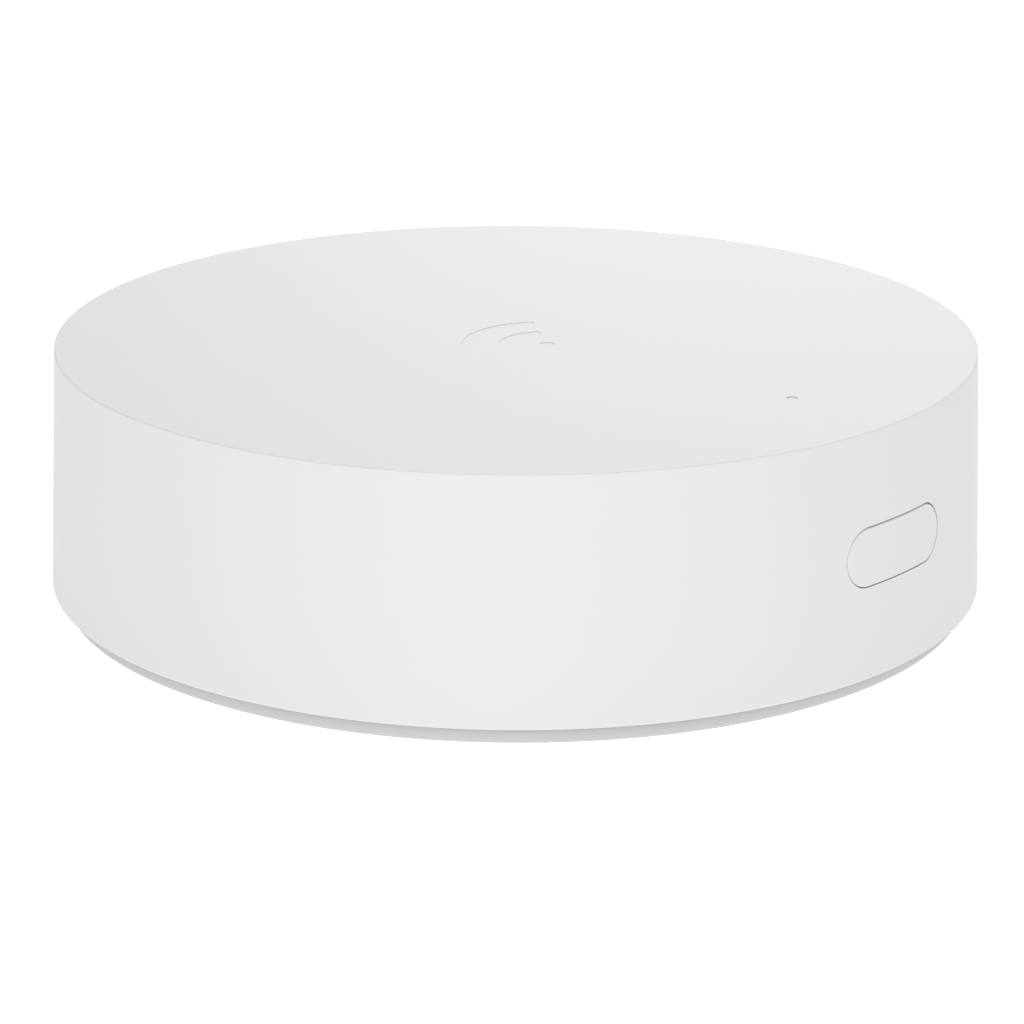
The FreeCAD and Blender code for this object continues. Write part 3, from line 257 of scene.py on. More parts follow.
def add_pill(bm: bmesh.types.BMesh, length: float, height: float, centre_z: float, low_y: float,
             high_y: float, steps: int = 64) -> None:
    """Add a pill prism that runs along Y, its section length wide and height tall.

    Args:
        bm: The bmesh to add to.
        length: Its length, end to end.
        height: Its height, top to bottom.
        centre_z: Height of its middle.
        low_y: Where it starts.
        high_y: Where it ends.
        steps: Steps round its section.
    """
    part = bmesh.new()
    bmesh.ops.create_circle(part, cap_ends=True, radius=height / 2, segments=steps)
    straight = (length - height) / 2
    for vert in part.verts:
        vert.co.x += math.copysign(straight, vert.co.x) if abs(vert.co.x) > WELD else 0.0
    face = part.faces[:]
    bmesh.ops.rotate(part, verts=part.verts, matrix=Matrix.Rotation(math.pi / 2, 3, "X"))
    bmesh.ops.translate(part, verts=part.verts, vec=(0, low_y, centre_z))
    pushed = bmesh.ops.extrude_face_region(part, geom=face)
    new_verts = [item for item in pushed["geom"] if isinstance(item, bmesh.types.BMVert)]
    bmesh.ops.translate(part, verts=new_verts, vec=(0, high_y - low_y, 0))
    bmesh.ops.recalc_face_normals(part, faces=part.faces)
    merge_into(bm, part)


def edges_along_y(bm: bmesh.types.BMesh) -> list[bmesh.types.BMEdge]:
    """Edges of a prism that run from its front to its back."""
    return [edge for edge in bm.edges if abs(edge.verts[0].co.y - edge.verts[1].co.y) > NEAR]


def add_slot_cutter(bm: bmesh.types.BMesh, width: float, height: float, corner: float, centre_z: float,
                    low_y: float, high_y: float, floor_round: float = 0.0,
                    corner_segments: int = 8, floor_segments: int = 3) -> None:
    """Add a box along Y with round corners in its section, and a rounded end at low_y.

    Args:
        bm: The bmesh to add to.
        width: Its width.
        height: Its height.
        corner: Radius of the section's corners.
        centre_z: Height of its middle.
        low_y: Where it starts.
        high_y: Where it ends.
        floor_round: Radius of the edges at low_y.
        corner_segments: Steps in each corner.
        floor_segments: Steps in the edges at low_y.
    """
    part = bmesh.new()
    size = Matrix.Diagonal((width, high_y - low_y, height, 1.0))
    place = Matrix.Translation((0, (low_y + high_y) / 2, centre_z))
    bmesh.ops.create_cube(part, size=1.0, matrix=place @ size)
    bevel_edges(part, edges_along_y(part), corner, corner_segments)
    if floor_round:
        floor_edges = [edge for edge in part.edges if all(abs(v.co.y - low_y) < WELD for v in edge.verts)]
        bevel_edges(part, floor_edges, floor_round, floor_segments)
    merge_into(bm, part)


def add_peg(bm: bmesh.types.BMesh, x: float, z: float, radius: float, low_y: float, high_y: float) -> None:
    """Add a round peg that lies along Y.

    Args:
        bm: The bmesh to add to.
        x: Place of its axis, left to right.
        z: Height of its axis.
        radius: Its radius.
        low_y: Where it starts.
        high_y: Where it ends.
    """
    part = bmesh.new()
    add_tube(part, (0.0, 0.0), 0.0, radius, 0.0, high_y - low_y)
    bmesh.ops.rotate(part, verts=part.verts, matrix=Matrix.Rotation(-math.pi / 2, 3, "X"))
    bmesh.ops.translate(part, verts=part.verts, vec=(x, low_y, z))
    merge_into(bm, part)


def carve(piece: bpy.types.Object, cutters: Iterable[bmesh.types.BMesh]) -> None:
    """Cut each cutter out of a piece in turn and keep the result as its mesh.

    Args:
        piece: The piece to cut.
        cutters: The shapes to cut away, which are freed.
    """
    for number, cutter in enumerate(cutters):
        tool = finish_mesh(f"cutter_{number}", cutter)
        modifier = piece.modifiers.new("carve", "BOOLEAN")
        modifier.operation = "DIFFERENCE"
        modifier.solver = "EXACT"
        modifier.object = tool
        graph = bpy.context.evaluated_depsgraph_get()
        cut_mesh = bpy.data.meshes.new_from_object(piece.evaluated_get(graph))
        piece.modifiers.clear()
        piece.data = cut_mesh
        bpy.data.objects.remove(tool)


def bevel_rims(piece: bpy.types.Object, width: float, segments: int,
               chosen: Callable[[bmesh.types.BMEdge], bool], sharper: float = 50.0) -> None:
    """Round the sharp edges of a carved piece that chosen accepts.

    Args:
        piece: The carved piece.
        width: Width of the rounding.
        segments: Steps in the rounding.
        chosen: Test that an edge has to pass.
        sharper: Degrees between two faces above which an edge counts as sharp.
    """
    limit = math.radians(sharper)
    with editing(piece) as bm:
        rims = [edge for edge in bm.edges
                if edge.is_manifold and edge.calc_face_angle(0.0) > limit and chosen(edge)]
        bevel_edges(bm, rims, width, segments)


# ---------------------------------------------------------------------------------------------------------------
# Finishes


def linear(code: str) -> tuple[float, float, float, float]:
    """Turn an sRGB hex colour into linear light.

    Args:
        code: The colour as # and six hex digits.

    Returns:
        Red, green, blue and alpha.
    """
    parts = [int(code[place:place + 2], 16) / 255 for place in (1, 3, 5)]
    light = [part / 12.92 if part <= 0.04045 else ((part + 0.055) / 1.055) ** 2.4 for part in parts]
    return (*light, 1.0)


def per_mm(size: float) -> float:
    """Texture scale that makes a pattern repeat about every size millimetres."""
    return 1.0 / (size * MM)


def add_node(tree: bpy.types.NodeTree, kind: str, settings: dict[str | int, object] | None = None,
             links: dict[str | int, bpy.types.NodeSocket] | None = None) -> bpy.types.Node:
    """Add a node with its settings and incoming links.

    Args:
        tree: The node tree.
        kind: The node's type name without its ShaderNode prefix.
        settings: Values by property name, or by an input's name or number where it is an input.
        links: Output sockets by the name or number of the input that they feed.

    Returns:
        The new node.
    """
    node = tree.nodes.new("ShaderNode" + kind)
    for name, value in (settings or {}).items():
        if isinstance(name, int) or name in node.inputs:
            node.inputs[name].default_value = value
        else:
            setattr(node, name, value)
    for name, socket in (links or {}).items():
        tree.links.new(socket, node.inputs[name])
    return node


@dataclass(frozen=True)
class Finish:
    """What every finish shares: a maker's name, a base colour, a roughness and an IOR."""

    title: str
    colour: str
    roughness: float
    ior: float = 1.5

    def material(self) -> bpy.types.Material:
        """Build the material once and return it.

        Returns:
            The material.
        """
        known = bpy.data.materials.get(self.title)
        if known:
            return known
        material = bpy.data.materials.new(self.title)
        material.use_nodes = True
        tree = material.node_tree
        tree.nodes.clear()
        shader = add_node(tree, "BsdfPrincipled", {"Base Color": linear(self.colour), "Roughness": self.roughness})
        add_node(tree, "OutputMaterial", links={"Surface": shader.outputs["BSDF"]})
        self.dress(tree, shader, add_node(tree, "TexCoord").outputs["Object"])
        return material

    def dress(self, tree: bpy.types.NodeTree, shader: bpy.types.Node, place: bpy.types.NodeSocket) -> None:
        """Add the finish's own detail to the shader."""
        raise NotImplementedError


@dataclass(frozen=True)
class MouldedPlastic(Finish):
    """Injection moulded ABS from a spark-eroded tool: a fine even satin with a faint cloudy tone."""

    cloud_colour: str = "#E6E6E5"
    grain: float = 0.3
    grain_height: float = 0.008
    relief: float = 0.35
    cloud: float = 26.0
    roughness_spread: float = 0.05

    def dress(self, tree: bpy.types.NodeTree, shader: bpy.types.Node, place: bpy.types.NodeSocket) -> None:
        """Faint clouds in the colour, and the grain that the tool leaves. It is drawn coarser than life.

        Args:
            tree: The material's node tree.
            shader: Its main shader node.
            place: Object coordinates.
        """
        shader.inputs["IOR"].default_value = self.ior
        clouds = add_node(tree, "TexNoise", {"Scale": per_mm(self.cloud), "Detail": 3.0}, {"Vector": place})
        grain = add_node(tree, "TexNoise", {"Scale": per_mm(self.grain), "Detail": 2.0}, {"Vector": place})
        tone = add_node(tree, "MixRGB", {"Color1": linear(self.colour), "Color2": linear(self.cloud_colour)},
                        {"Fac": clouds.outputs["Fac"]})
        tree.links.new(tone.outputs["Color"], shader.inputs["Base Color"])
        polish = add_node(tree, "MapRange", {"To Min": self.roughness - self.roughness_spread,
                                             "To Max": self.roughness + self.roughness_spread},
                          {"Value": grain.outputs["Fac"]})
        tree.links.new(polish.outputs["Result"], shader.inputs["Roughness"])
        bump = add_node(tree, "Bump", {"Strength": self.relief, "Distance": self.grain_height * MM},
                        {"Height": grain.outputs["Fac"]})
        tree.links.new(bump.outputs["Normal"], shader.inputs["Normal"])


@dataclass(frozen=True)
class SeamShadedPlastic(MouldedPlastic):
    """The same plastic on a part whose upper rim sits in a seam, with painted shade that deepens its tone towards
    the seam.
    """

    seam_shade_colour: str = "#9E9E9D"
    clear_height: float = 0.9
    seam_height: float = 2.1
    seam_shade_power: float = 2.5

    def dress(self, tree: bpy.types.NodeTree, shader: bpy.types.Node, place: bpy.types.NodeSocket) -> None:
        """The plain plastic, and painted shade that deepens the tone towards the seam's height.

        Args:
            tree: The material's node tree.
            shader: Its main shader node.
            place: Object coordinates.
        """
        super().dress(tree, shader, place)
        plain = shader.inputs["Base Color"].links[0].from_socket
        # Painted shade: the colour darkens with height towards the seam, where the shell's lip shades the base.
        height = add_node(tree, "SeparateXYZ", links={"Vector": place}).outputs["Z"]
        depth = add_node(tree, "MapRange", {"From Min": self.clear_height * MM, "From Max": self.seam_height * MM},
                         {"Value": height})
        seam_shade = add_node(tree, "Math", {"operation": "POWER", 1: self.seam_shade_power},
                             {0: depth.outputs["Result"]})
        tone = add_node(tree, "MixRGB", {"Color2": linear(self.seam_shade_colour)},
                        {"Fac": seam_shade.outputs["Value"], "Color1": plain})
        tree.links.new(tone.outputs["Color"], shader.inputs["Base Color"])


@dataclass(frozen=True)
class MouldedRubber(Finish):
    """Compression moulded silicone rubber: dull, with fine pores and dust-like lighter flecks."""

    fleck: str = "#9C9C9A"
    pore: float = 0.4
    pore_depth: float = 0.03
    relief: float = 0.5
    sheen: float = 0.15

    def dress(self, tree: bpy.types.NodeTree, shader: bpy.types.Node, place: bpy.types.NodeSocket) -> None:
        """Pores as a shallow bump, and flecks in the colour.

        Args:
            tree: The material's node tree.
            shader: Its main shader node.
            place: Object coordinates.
        """
        shader.inputs["IOR"].default_value = self.ior
        shader.inputs["Sheen Weight"].default_value = self.sheen
        pores = add_node(tree, "TexNoise", {"Scale": per_mm(self.pore), "Detail": 4.0}, {"Vector": place})
        tone = add_node(tree, "MixRGB", {"Color1": linear(self.colour), "Color2": linear(self.fleck)},
                        {"Fac": pores.outputs["Fac"]})
        tree.links.new(tone.outputs["Color"], shader.inputs["Base Color"])
        bump = add_node(tree, "Bump", {"Strength": self.relief, "Distance": self.pore_depth * MM},
                        {"Height": pores.outputs["Fac"]})
        tree.links.new(bump.outputs["Normal"], shader.inputs["Normal"])


@dataclass(frozen=True)
class PlatedMetal(Finish):
    """Rolled or turned metal with a thin plating: fine lines along one way and a soft uneven gloss."""

    line: float = 0.12
    line_depth: float = 0.01
    relief: float = 0.3
    stretch: tuple[float, float, float] = (14.0, 14.0, 1.0)
    dull: str = "#9A9A98"
    gloss_spread: tuple[float, float] = (0.7, 1.4)

    def dress(self, tree: bpy.types.NodeTree, shader: bpy.types.Node, place: bpy.types.NodeSocket) -> None:
        """Lines, longer by stretch along each axis, which change the gloss, the height and a little the colour.

        Args:
            tree: The material's node tree.
            shader: Its main shader node.
            place: Object coordinates.
        """
        shader.inputs["Metallic"].default_value = 1.0
        along = add_node(tree, "Mapping", {"Scale": tuple(1.0 / part for part in self.stretch)},
                         {"Vector": place})
        lines = add_node(tree, "TexNoise", {"Scale": per_mm(self.line), "Detail": 3.0},
                         {"Vector": along.outputs["Vector"]})
        tone = add_node(tree, "MixRGB", {"Color1": linear(self.dull), "Color2": linear(self.colour)},
                        {"Fac": lines.outputs["Fac"]})
        tree.links.new(tone.outputs["Color"], shader.inputs["Base Color"])
        smooth, rough = (self.roughness * share for share in self.gloss_spread)
        gloss = add_node(tree, "MapRange", {"To Min": smooth, "To Max": rough}, {"Value": lines.outputs["Fac"]})
        tree.links.new(gloss.outputs["Result"], shader.inputs["Roughness"])
        bump = add_node(tree, "Bump", {"Strength": self.relief, "Distance": self.line_depth * MM},
                        {"Height": lines.outputs["Fac"]})
        tree.links.new(bump.outputs["Normal"], shader.inputs["Normal"])


@dataclass(frozen=True)
class SolderMask(Finish):
    """Solder mask over etched copper: glossy, with the tracks showing as paler lines under it."""

    track: str = "#2E8A4F"
    pitch: float = 3.9
    track_edges: tuple[float, float] = (0.03, 0.05)
    copper: float = 0.035
    relief: float = 0.6
    coat: float = 0.5

    def dress(self, tree: bpy.types.NodeTree, shader: bpy.types.Node, place: bpy.types.NodeSocket) -> None:
        """Tracks as the edges of square cells, raised by the copper's thickness.

        Args:
            tree: The material's node tree.
            shader: Its main shader node.
            place: Object coordinates.
        """
        shader.inputs["IOR"].default_value = self.ior
        shader.inputs["Coat Weight"].default_value = self.coat
        cells = add_node(tree, "TexVoronoi", {"feature": "DISTANCE_TO_EDGE", "Scale": per_mm(self.pitch)},
                         {"Vector": place})
        near, far = self.track_edges
        tracks = add_node(tree, "MapRange", {"From Min": near, "From Max": far, "To Min": 1.0, "To Max": 0.0},
                          {"Value": cells.outputs["Distance"]})
        tone = add_node(tree, "MixRGB", {"Color1": linear(self.colour), "Color2": linear(self.track)},
                        {"Fac": tracks.outputs["Result"]})
        tree.links.new(tone.outputs["Color"], shader.inputs["Base Color"])
        bump = add_node(tree, "Bump", {"Strength": self.relief, "Distance": self.copper * MM},
                        {"Height": tracks.outputs["Result"]})
        tree.links.new(bump.outputs["Normal"], shader.inputs["Normal"])


@dataclass(frozen=True)
class Mineral(Finish):
    """Moulded epoxy, ferrite or fired ceramic: a speckled matt face with a fine pitted grain."""

    speck: str = "#3A3A3A"
    grain: float = 0.15
    pit: float = 0.02
    relief: float = 0.4

    def dress(self, tree: bpy.types.NodeTree, shader: bpy.types.Node, place: bpy.types.NodeSocket) -> None:
        """Specks of filler in the colour, and pits in the surface.

        Args:
            tree: The material's node tree.
            shader: Its main shader node.
            place: Object coordinates.
        """
        shader.inputs["IOR"].default_value = self.ior
        specks = add_node(tree, "TexNoise", {"Scale": per_mm(self.grain), "Detail": 5.0, "Roughness": 0.7},
                          {"Vector": place})
        tone = add_node(tree, "MixRGB", {"Color1": linear(self.colour), "Color2": linear(self.speck)},
                        {"Fac": specks.outputs["Fac"]})
        tree.links.new(tone.outputs["Color"], shader.inputs["Base Color"])
        bump = add_node(tree, "Bump", {"Strength": self.relief, "Distance": self.pit * MM},
                        {"Height": specks.outputs["Fac"]})
        tree.links.new(bump.outputs["Normal"], shader.inputs["Normal"])


@dataclass(frozen=True)
class ClearAcrylic(Finish):
    """Moulded acrylic with a milky filler that spreads the light, and faint flow lines from the mould."""

    clarity: float = 0.2
    flow: float = 1.5
    flow_depth: float = 0.01
    relief: float = 0.1

    def dress(self, tree: bpy.types.NodeTree, shader: bpy.types.Node, place: bpy.types.NodeSocket) -> None:
        """Light passes through, and the flow lines bend it slightly.

        Args:
            tree: The material's node tree.
            shader: Its main shader node.
            place: Object coordinates.
        """
        shader.inputs["IOR"].default_value = self.ior
        shader.inputs["Transmission Weight"].default_value = self.clarity
        flow = add_node(tree, "TexNoise", {"Scale": per_mm(self.flow), "Detail": 1.0}, {"Vector": place})
        bump = add_node(tree, "Bump", {"Strength": self.relief, "Distance": self.flow_depth * MM},
                        {"Height": flow.outputs["Fac"]})
        tree.links.new(bump.outputs["Normal"], shader.inputs["Normal"])


@dataclass(frozen=True)
class LitOpal(Finish):
    """Opal acrylic lit from below: an even pale glow that leaves only a soft shadow."""

    glow: float = 0.92
    cloud: float = 300.0
    spread: float = 0.01

    def dress(self, tree: bpy.types.NodeTree, shader: bpy.types.Node, place: bpy.types.NodeSocket) -> None:
        """The glow, with a very faint cloudiness in the sheet.

        Args:
            tree: The material's node tree.
            shader: Its main shader node.
            place: Object coordinates.
        """
        shader.inputs["Specular IOR Level"].default_value = 0.0
        shader.inputs["Emission Color"].default_value = (1.0, 1.0, 1.0, 1.0)
        clouds = add_node(tree, "TexNoise", {"Scale": per_mm(self.cloud), "Detail": 1.0}, {"Vector": place})
        low, high = self.glow * (1 - self.spread), self.glow * (1 + self.spread)
        glow = add_node(tree, "MapRange", {"To Min": low, "To Max": high}, {"Value": clouds.outputs["Fac"]})
        tree.links.new(glow.outputs["Result"], shader.inputs["Emission Strength"])


# The table glows, so the case stands on it with hardly a shadow.
OPAL_TABLE = LitOpal("opal acrylic table, lit from below", "#A8A8A8", 0.9, 1.4)
# Spark-eroded satin spreads every highlight; the base is the same plastic with painted shade: its colour is darker
# for the shade of the shell.
SHELL_PLASTIC = MouldedPlastic("satin moulded ABS, shell", "#D6D6D6", 0.5, 1.53, cloud_colour="#D4D4D4")
SHADED_BASE_PLASTIC = SeamShadedPlastic("satin moulded ABS, base, painted shade", "#BCBCBB", 0.5, 1.53, cloud_colour="#BABAB9")
# Rubber stays dull and dusty beside the plastic, and the film is flat and evenly matt.
FOOT_RUBBER = MouldedRubber("moulded silicone rubber, grey", "#8E8E8C", 0.75, 1.41)
LABEL_FILM = MouldedPlastic("matt polyester film", "#D6D6D4", 0.6, 1.57, cloud_colour="#D2D2D0", grain=0.2)
# Rolling, turning and drawing leave fine lines that draw the highlights out; the plating sets the tint.
SCREW_STEEL = PlatedMetal("zinc plated steel", "#B9BABD", 0.32)
TINNED_SHEET = PlatedMetal("tin plated steel sheet", "#C9C8C3", 0.35)
NICKEL_SHEET = PlatedMetal("nickel plated steel sheet", "#C4C0B8", 0.25)
SPRING_STEEL = PlatedMetal("rolled stainless spring strip", "#B5B4B0", 0.28)
BRUSHED_ALUMINIUM = PlatedMetal("brushed aluminium plate", "#D0D1D3", 0.38, line=0.2)
DRAWN_ALUMINIUM = PlatedMetal("drawn aluminium can", "#CFCFD2", 0.22, stretch=(1.0, 4.0, 4.0))
GOLD_PLATE = PlatedMetal("gold plated copper alloy", "#E2BE6A", 0.22, dull="#C79C45")
# Solder mask is glossy, and the copper under it shows as paler, slightly raised tracks.
BOARD_MASK = SolderMask("green solder mask over copper", "#1C5B36", 0.3, 1.55)
ANTENNA_MASK = SolderMask("black solder mask over copper", "#121413", 0.32, 1.55, track="#2B2A27", pitch=6.6)
# Pressed, fired and filled bodies are matt, pitted and speckled. Pits and specks are drawn coarser than life.
PACKAGE_EPOXY = Mineral("moulded epoxy", "#1B1B1C", 0.55, 1.55, speck="#2A2A2B")
COIL_FERRITE = Mineral("pressed ferrite", "#34332F", 0.7, 1.6, speck="#4A4843")
TAN_CERAMIC = Mineral("fired tan ceramic", "#9C7B55", 0.5, 1.6, speck="#B08E66")
WHITE_CERAMIC = Mineral("fired white ceramic", "#DCD9CE", 0.45, 1.6, speck="#EAE8DF")
SILICONE_PAD = Mineral("filled silicone pad", "#8FB0C4", 0.8, 1.43, speck="#A5C2D2", grain=0.3)
FOAM = MouldedRubber("black closed-cell foam", "#18181A", 0.9, 1.4, fleck="#2C2C2E", pore=0.5)
# Small moulded and extruded parts have the shell's grain; clear resin and acrylic are much glossier.
BLACK_NYLON = MouldedPlastic("moulded black nylon", "#1A1A1B", 0.5, 1.53, cloud_colour="#202021")
RED_NYLON = MouldedPlastic("moulded red nylon", "#9E2A21", 0.45, 1.53, cloud_colour="#A63227")
LEAD_JACKET = MouldedPlastic("extruded black jacket", "#202022", 0.4, 1.45, cloud_colour="#262628")
LIGHT_RESIN = MouldedPlastic("clear resin over white", "#EDEAD8", 0.2, 1.5, cloud_colour="#E6E2CC")
CLEAR_ACRYLIC = ClearAcrylic("light-guide acrylic", "#EDEDED", 0.2, 1.49)


# ---------------------------------------------------------------------------------------------------------------
# Sub-assemblies


def dress_piece(piece: bpy.types.Object, finish: Finish, nodes: Sequence[str]) -> None:
    """Give a new piece its finish, and make it stand for its frame nodes.

    Args:
        piece: The finished mesh.
        finish: What it is made of.
        nodes: The frame nodes that it stands for.
    """
    piece.data.materials.clear()
    piece.data.materials.append(finish.material())
    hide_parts(*nodes)
    LOG.info("%s: %d faces, %s", piece.name, len(piece.data.polygons), finish.title)


def publish(piece: bpy.types.Object, finish: Finish, body: Body, slot: str, *nodes: str) -> bpy.types.Object:
    """Dress a new piece and make it ride on a body.

    Args:
        piece: The finished mesh.
        finish: What it is made of.
        body: The body that it moves with.
        slot: Not used.
        nodes: The frame nodes that it stands for.

    Returns:
        The same piece.
    """
    dress_piece(piece, finish, nodes)
    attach(piece, body)
    return piece


def publish_bending(piece: bpy.types.Object, finish: Finish, body: Body, ends: tuple[Vector, Vector], slot: str,
                    *nodes: str) -> bpy.types.Object:
    """Dress a new piece and bake its placement into its mesh.

    Args:
        piece: The finished mesh.
        finish: What it is made of.
        body: Not used.
        ends: Not used.
        slot: Not used.
        nodes: The frame nodes that it stands for.

    Returns:
        The same piece.
    """
    dress_piece(piece, finish, nodes)
    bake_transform(piece)
    return piece


@dataclass
class CaseShape:
    """Sizes that the pieces of the case share, in metres, with heights read from the frame."""

    lower_radius: float = 46.9 * MM
    draft: float = math.radians(1.97)
    wall: float = 2.0 * MM
    roof: float = 2.0 * MM
    case_circle: float = 39.0 * MM
    post_embed: float = 0.3 * MM
    low: float = field(init=False)
    high: float = field(init=False)
    button_z: float = field(init=False)
    board_z: float = field(init=False)
    socket_z: float = field(init=False)
    light_y: float = field(init=False)

    def __post_init__(self) -> None:
        """Read where the frame puts the shell, the button, the board, the socket and the light."""
        self.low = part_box("top_housing")[0].z
        self.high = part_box("top_housing")[1].z
        self.button_z = sum(corner.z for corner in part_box("button_cap")) / 2
        self.board_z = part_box("main_board")[1].z
        self.socket_z = sum(corner.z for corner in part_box("power_socket_shell")) / 2
        self.light_y = sum(corner.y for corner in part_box("light_pipe")) / 2

    def outer(self, height: float) -> float:
        """Radius of the shell's outside at a height."""
        return self.lower_radius - (height - self.low) * math.tan(self.draft)

    def inner(self, height: float) -> float:
        """Radius of the shell's inside at a height."""
        return self.outer(height) - self.wall

    def roof_z(self) -> float:
        """Height of the roof's underside."""
        return self.high - self.roof

    def post_top(self) -> float:
        """Height at which a post under the roof ends, a little inside it."""
        return self.roof_z() + self.post_embed


@dataclass
class TopShell:
    """The white shell with its button opening, light hole, plug recess, mark, bosses and posts."""

    shape: CaseShape
    edge_round: float = 0.15 * MM
    edge_segments: int = 6
    lip_break: float = 0.2 * MM
    wall_rows: int = 24
    skirt: float = 3.0 * MM
    opening_length: float = 15.27 * MM
    opening_height: float = 5.97 * MM
    opening_round: float = 0.1 * MM
    recess: tuple[float, float, float] = (12.0 * MM, 7.5 * MM, 2.0 * MM)
    recess_floor: float = 45.42 * MM
    port: tuple[float, float, float] = (8.3 * MM, 3.3 * MM, 1.2 * MM)
    light_hole: float = 1.05 * MM
    mark_depth: float = 0.08 * MM
    mark_dot: float = 1.5 * MM
    mark_stroke: float = 1.3 * MM
    mark_radii: tuple[float, float] = (4.2 * MM, 7.9 * MM)
    mark_spread: float = math.radians(42.0)
    mark_steps: int = 28
    mark_y: float = -4.0 * MM
    screw_reach: float = 2.7 * MM
    case_boss: tuple[float, float] = (1.3 * MM, 3.0 * MM)
    board_circle: float = 31.02 * MM
    board_boss: tuple[float, float] = (1.05 * MM, 2.75 * MM)
    sleeve: tuple[float, float] = (2.1 * MM, 3.1 * MM)
    sleeve_drop: float = 3.0 * MM
    holder_spacing: float = 20.0 * MM
    holder: tuple[float, float, float] = (2.6 * MM, 3.0 * MM, 5.0 * MM)
    holder_fit: float = 0.05 * MM
    spring_post: tuple[float, float, float] = (2.6 * MM, 2.2 * MM, 3.0 * MM)
    post_inset: float = 1.4 * MM
    stake: float = 0.7 * MM

    def build(self) -> bpy.types.Object:
        """Build the shell and dress it.

        Returns:
            The finished piece.
        """
        piece = self.cup()
        carve(piece, [self.front_cutter(), self.recess_cutter(), self.port_cutter(), self.top_cutter()])
        bevel_rims(piece, self.opening_round, 3, self.on_outer_wall)
        bevel_rims(piece, self.mark_depth / 3, 2, self.on_top)
        with editing(piece) as bm:
            self.add_bosses(bm)
            self.add_spring_posts(bm)
            self.add_antenna_holders(bm)
        soften_shading(piece)
        even_normals(piece)
        return publish(piece, SHELL_PLASTIC, Body.HOUSING, "shell_plastic", "top_housing")

    def cup(self) -> bpy.types.Object:
        """The plain cup: drafted wall, flat top, rounded top edge and broken lower lip.

        Returns:
            The cup as an object.
        """
        shape = self.shape
        roof_z = shape.roof_z()
        rows = [shape.low + (shape.high - shape.low) * row / self.wall_rows for row in range(self.wall_rows + 1)]
        outside = [(shape.outer(height), height) for height in reversed(rows)]
        inside = [(shape.inner(height), height) for height in rows if height < roof_z - self.skirt / 3]
        ends = [(shape.inner(roof_z), roof_z), (shape.inner(roof_z) - self.skirt, roof_z)]
        bm = bmesh.new()
        spin_outline(bm, [(shape.outer(shape.high) - self.skirt, shape.high), *outside, *inside, *ends])
        bevel_edges(bm, ring_edges(bm, shape.outer(shape.high), shape.high), self.edge_round,
                    self.edge_segments)
        bevel_edges(bm, ring_edges(bm, shape.outer(shape.low), shape.low), self.lip_break, 3)
        return finish_mesh("top_shell", bm)

    def front_cutter(self) -> bmesh.types.BMesh:
        """Cutter of the button's opening.

        Returns:
            The cutter.
        """
        bm = bmesh.new()
        reach = self.shape.lower_radius
        add_pill(bm, self.opening_length, self.opening_height, self.shape.button_z, -reach - self.skirt,
                 -reach + 2 * self.skirt)
        return bm

    def recess_cutter(self) -> bmesh.types.BMesh:
        """Cutter of the shallow recess for the plug's body.

        Returns:
            The cutter.
        """
        bm = bmesh.new()
        width, height, corner = self.recess
        add_slot_cutter(bm, width, height, corner, self.shape.socket_z, self.recess_floor,
                        self.shape.lower_radius + self.skirt, floor_round=self.lip_break)
        return bm

    def port_cutter(self) -> bmesh.types.BMesh:
        """Cutter of the opening that the power socket shows through.

        Returns:
            The cutter.
        """
        bm = bmesh.new()
        width, height, corner = self.port
        add_slot_cutter(bm, width, height, corner, self.shape.socket_z, self.recess_floor - self.skirt,
                        self.shape.lower_radius + self.skirt)
        return bm

    def top_cutter(self) -> bmesh.types.BMesh:
        """Cutter of the light hole and of the pressed mark: a dot and two arcs with round ends.

        Returns:
            The cutter.
        """
        bm = bmesh.new()
        top = self.shape.high
        low = top - self.mark_depth
        add_tube(bm, (0.0, self.shape.light_y), 0.0, self.light_hole / 2, top - 2 * self.shape.roof,
                 top + self.skirt)
        add_tube(bm, (0.0, self.mark_y), 0.0, self.mark_dot / 2, low, top + self.skirt)
        for radius in self.mark_radii:
            self.add_mark_arc(bm, radius, low, top + self.skirt)
        return bm

    def add_mark_arc(self, bm: bmesh.types.BMesh, radius: float, low: float, high: float) -> None:
        """Add one arc of the mark, a band turned about the dot.

        Args:
            bm: The bmesh to add to.
            radius: Radius of the middle of the band.
            low: Height of the mark's floor.
            high: Height at which the cutter ends.
        """
        part = bmesh.new()
        half = self.mark_stroke / 2
        start = math.pi / 2 - self.mark_spread
        direction = Vector((math.cos(start), math.sin(start), 0))
        centre = Vector((0, self.mark_y, 0))
        corners = [(radius - half, low), (radius + half, low), (radius + half, high), (radius - half, high)]
        verts = [part.verts.new(centre + direction * reach + Vector((0, 0, height))) for reach, height in corners]
        edges = [part.edges.new((verts[place - 1], verts[place])) for place in range(len(verts))]
        bmesh.ops.spin(part, geom=verts + edges, cent=centre, axis=(0, 0, 1), angle=2 * self.mark_spread,
                       steps=self.mark_steps, use_merge=False, use_duplicate=False)
        close_mesh(part)
        square = math.radians(60)
        almost_half = 0.98 * half
        ends = [edge for edge in part.edges
                if abs(edge.verts[0].co.z - edge.verts[1].co.z) > NEAR and edge.calc_face_angle(0.0) > square]
        bevel_edges(part, ends, almost_half, 6)
        merge_into(bm, part)

    def on_outer_wall(self, edge: bmesh.types.BMEdge) -> bool:
        """Whether an edge lies on the outside of the drafted wall, away from its two ends.

        Args:
            edge: The edge.

        Returns:
            True where it does.
        """
        shape = self.shape
        margin, near = 2 * self.edge_round, 0.05 * MM
        return all(shape.low + margin < vert.co.z < shape.high - margin
                   and abs(vert.co.xy.length - shape.outer(vert.co.z)) < near for vert in edge.verts)

    def on_top(self, edge: bmesh.types.BMEdge) -> bool:
        """Whether an edge lies on the top face, inside its rounded edge."""
        return all(abs(vert.co.z - self.shape.high) < NEAR
                   and vert.co.xy.length < self.shape.lower_radius - self.skirt for vert in edge.verts)

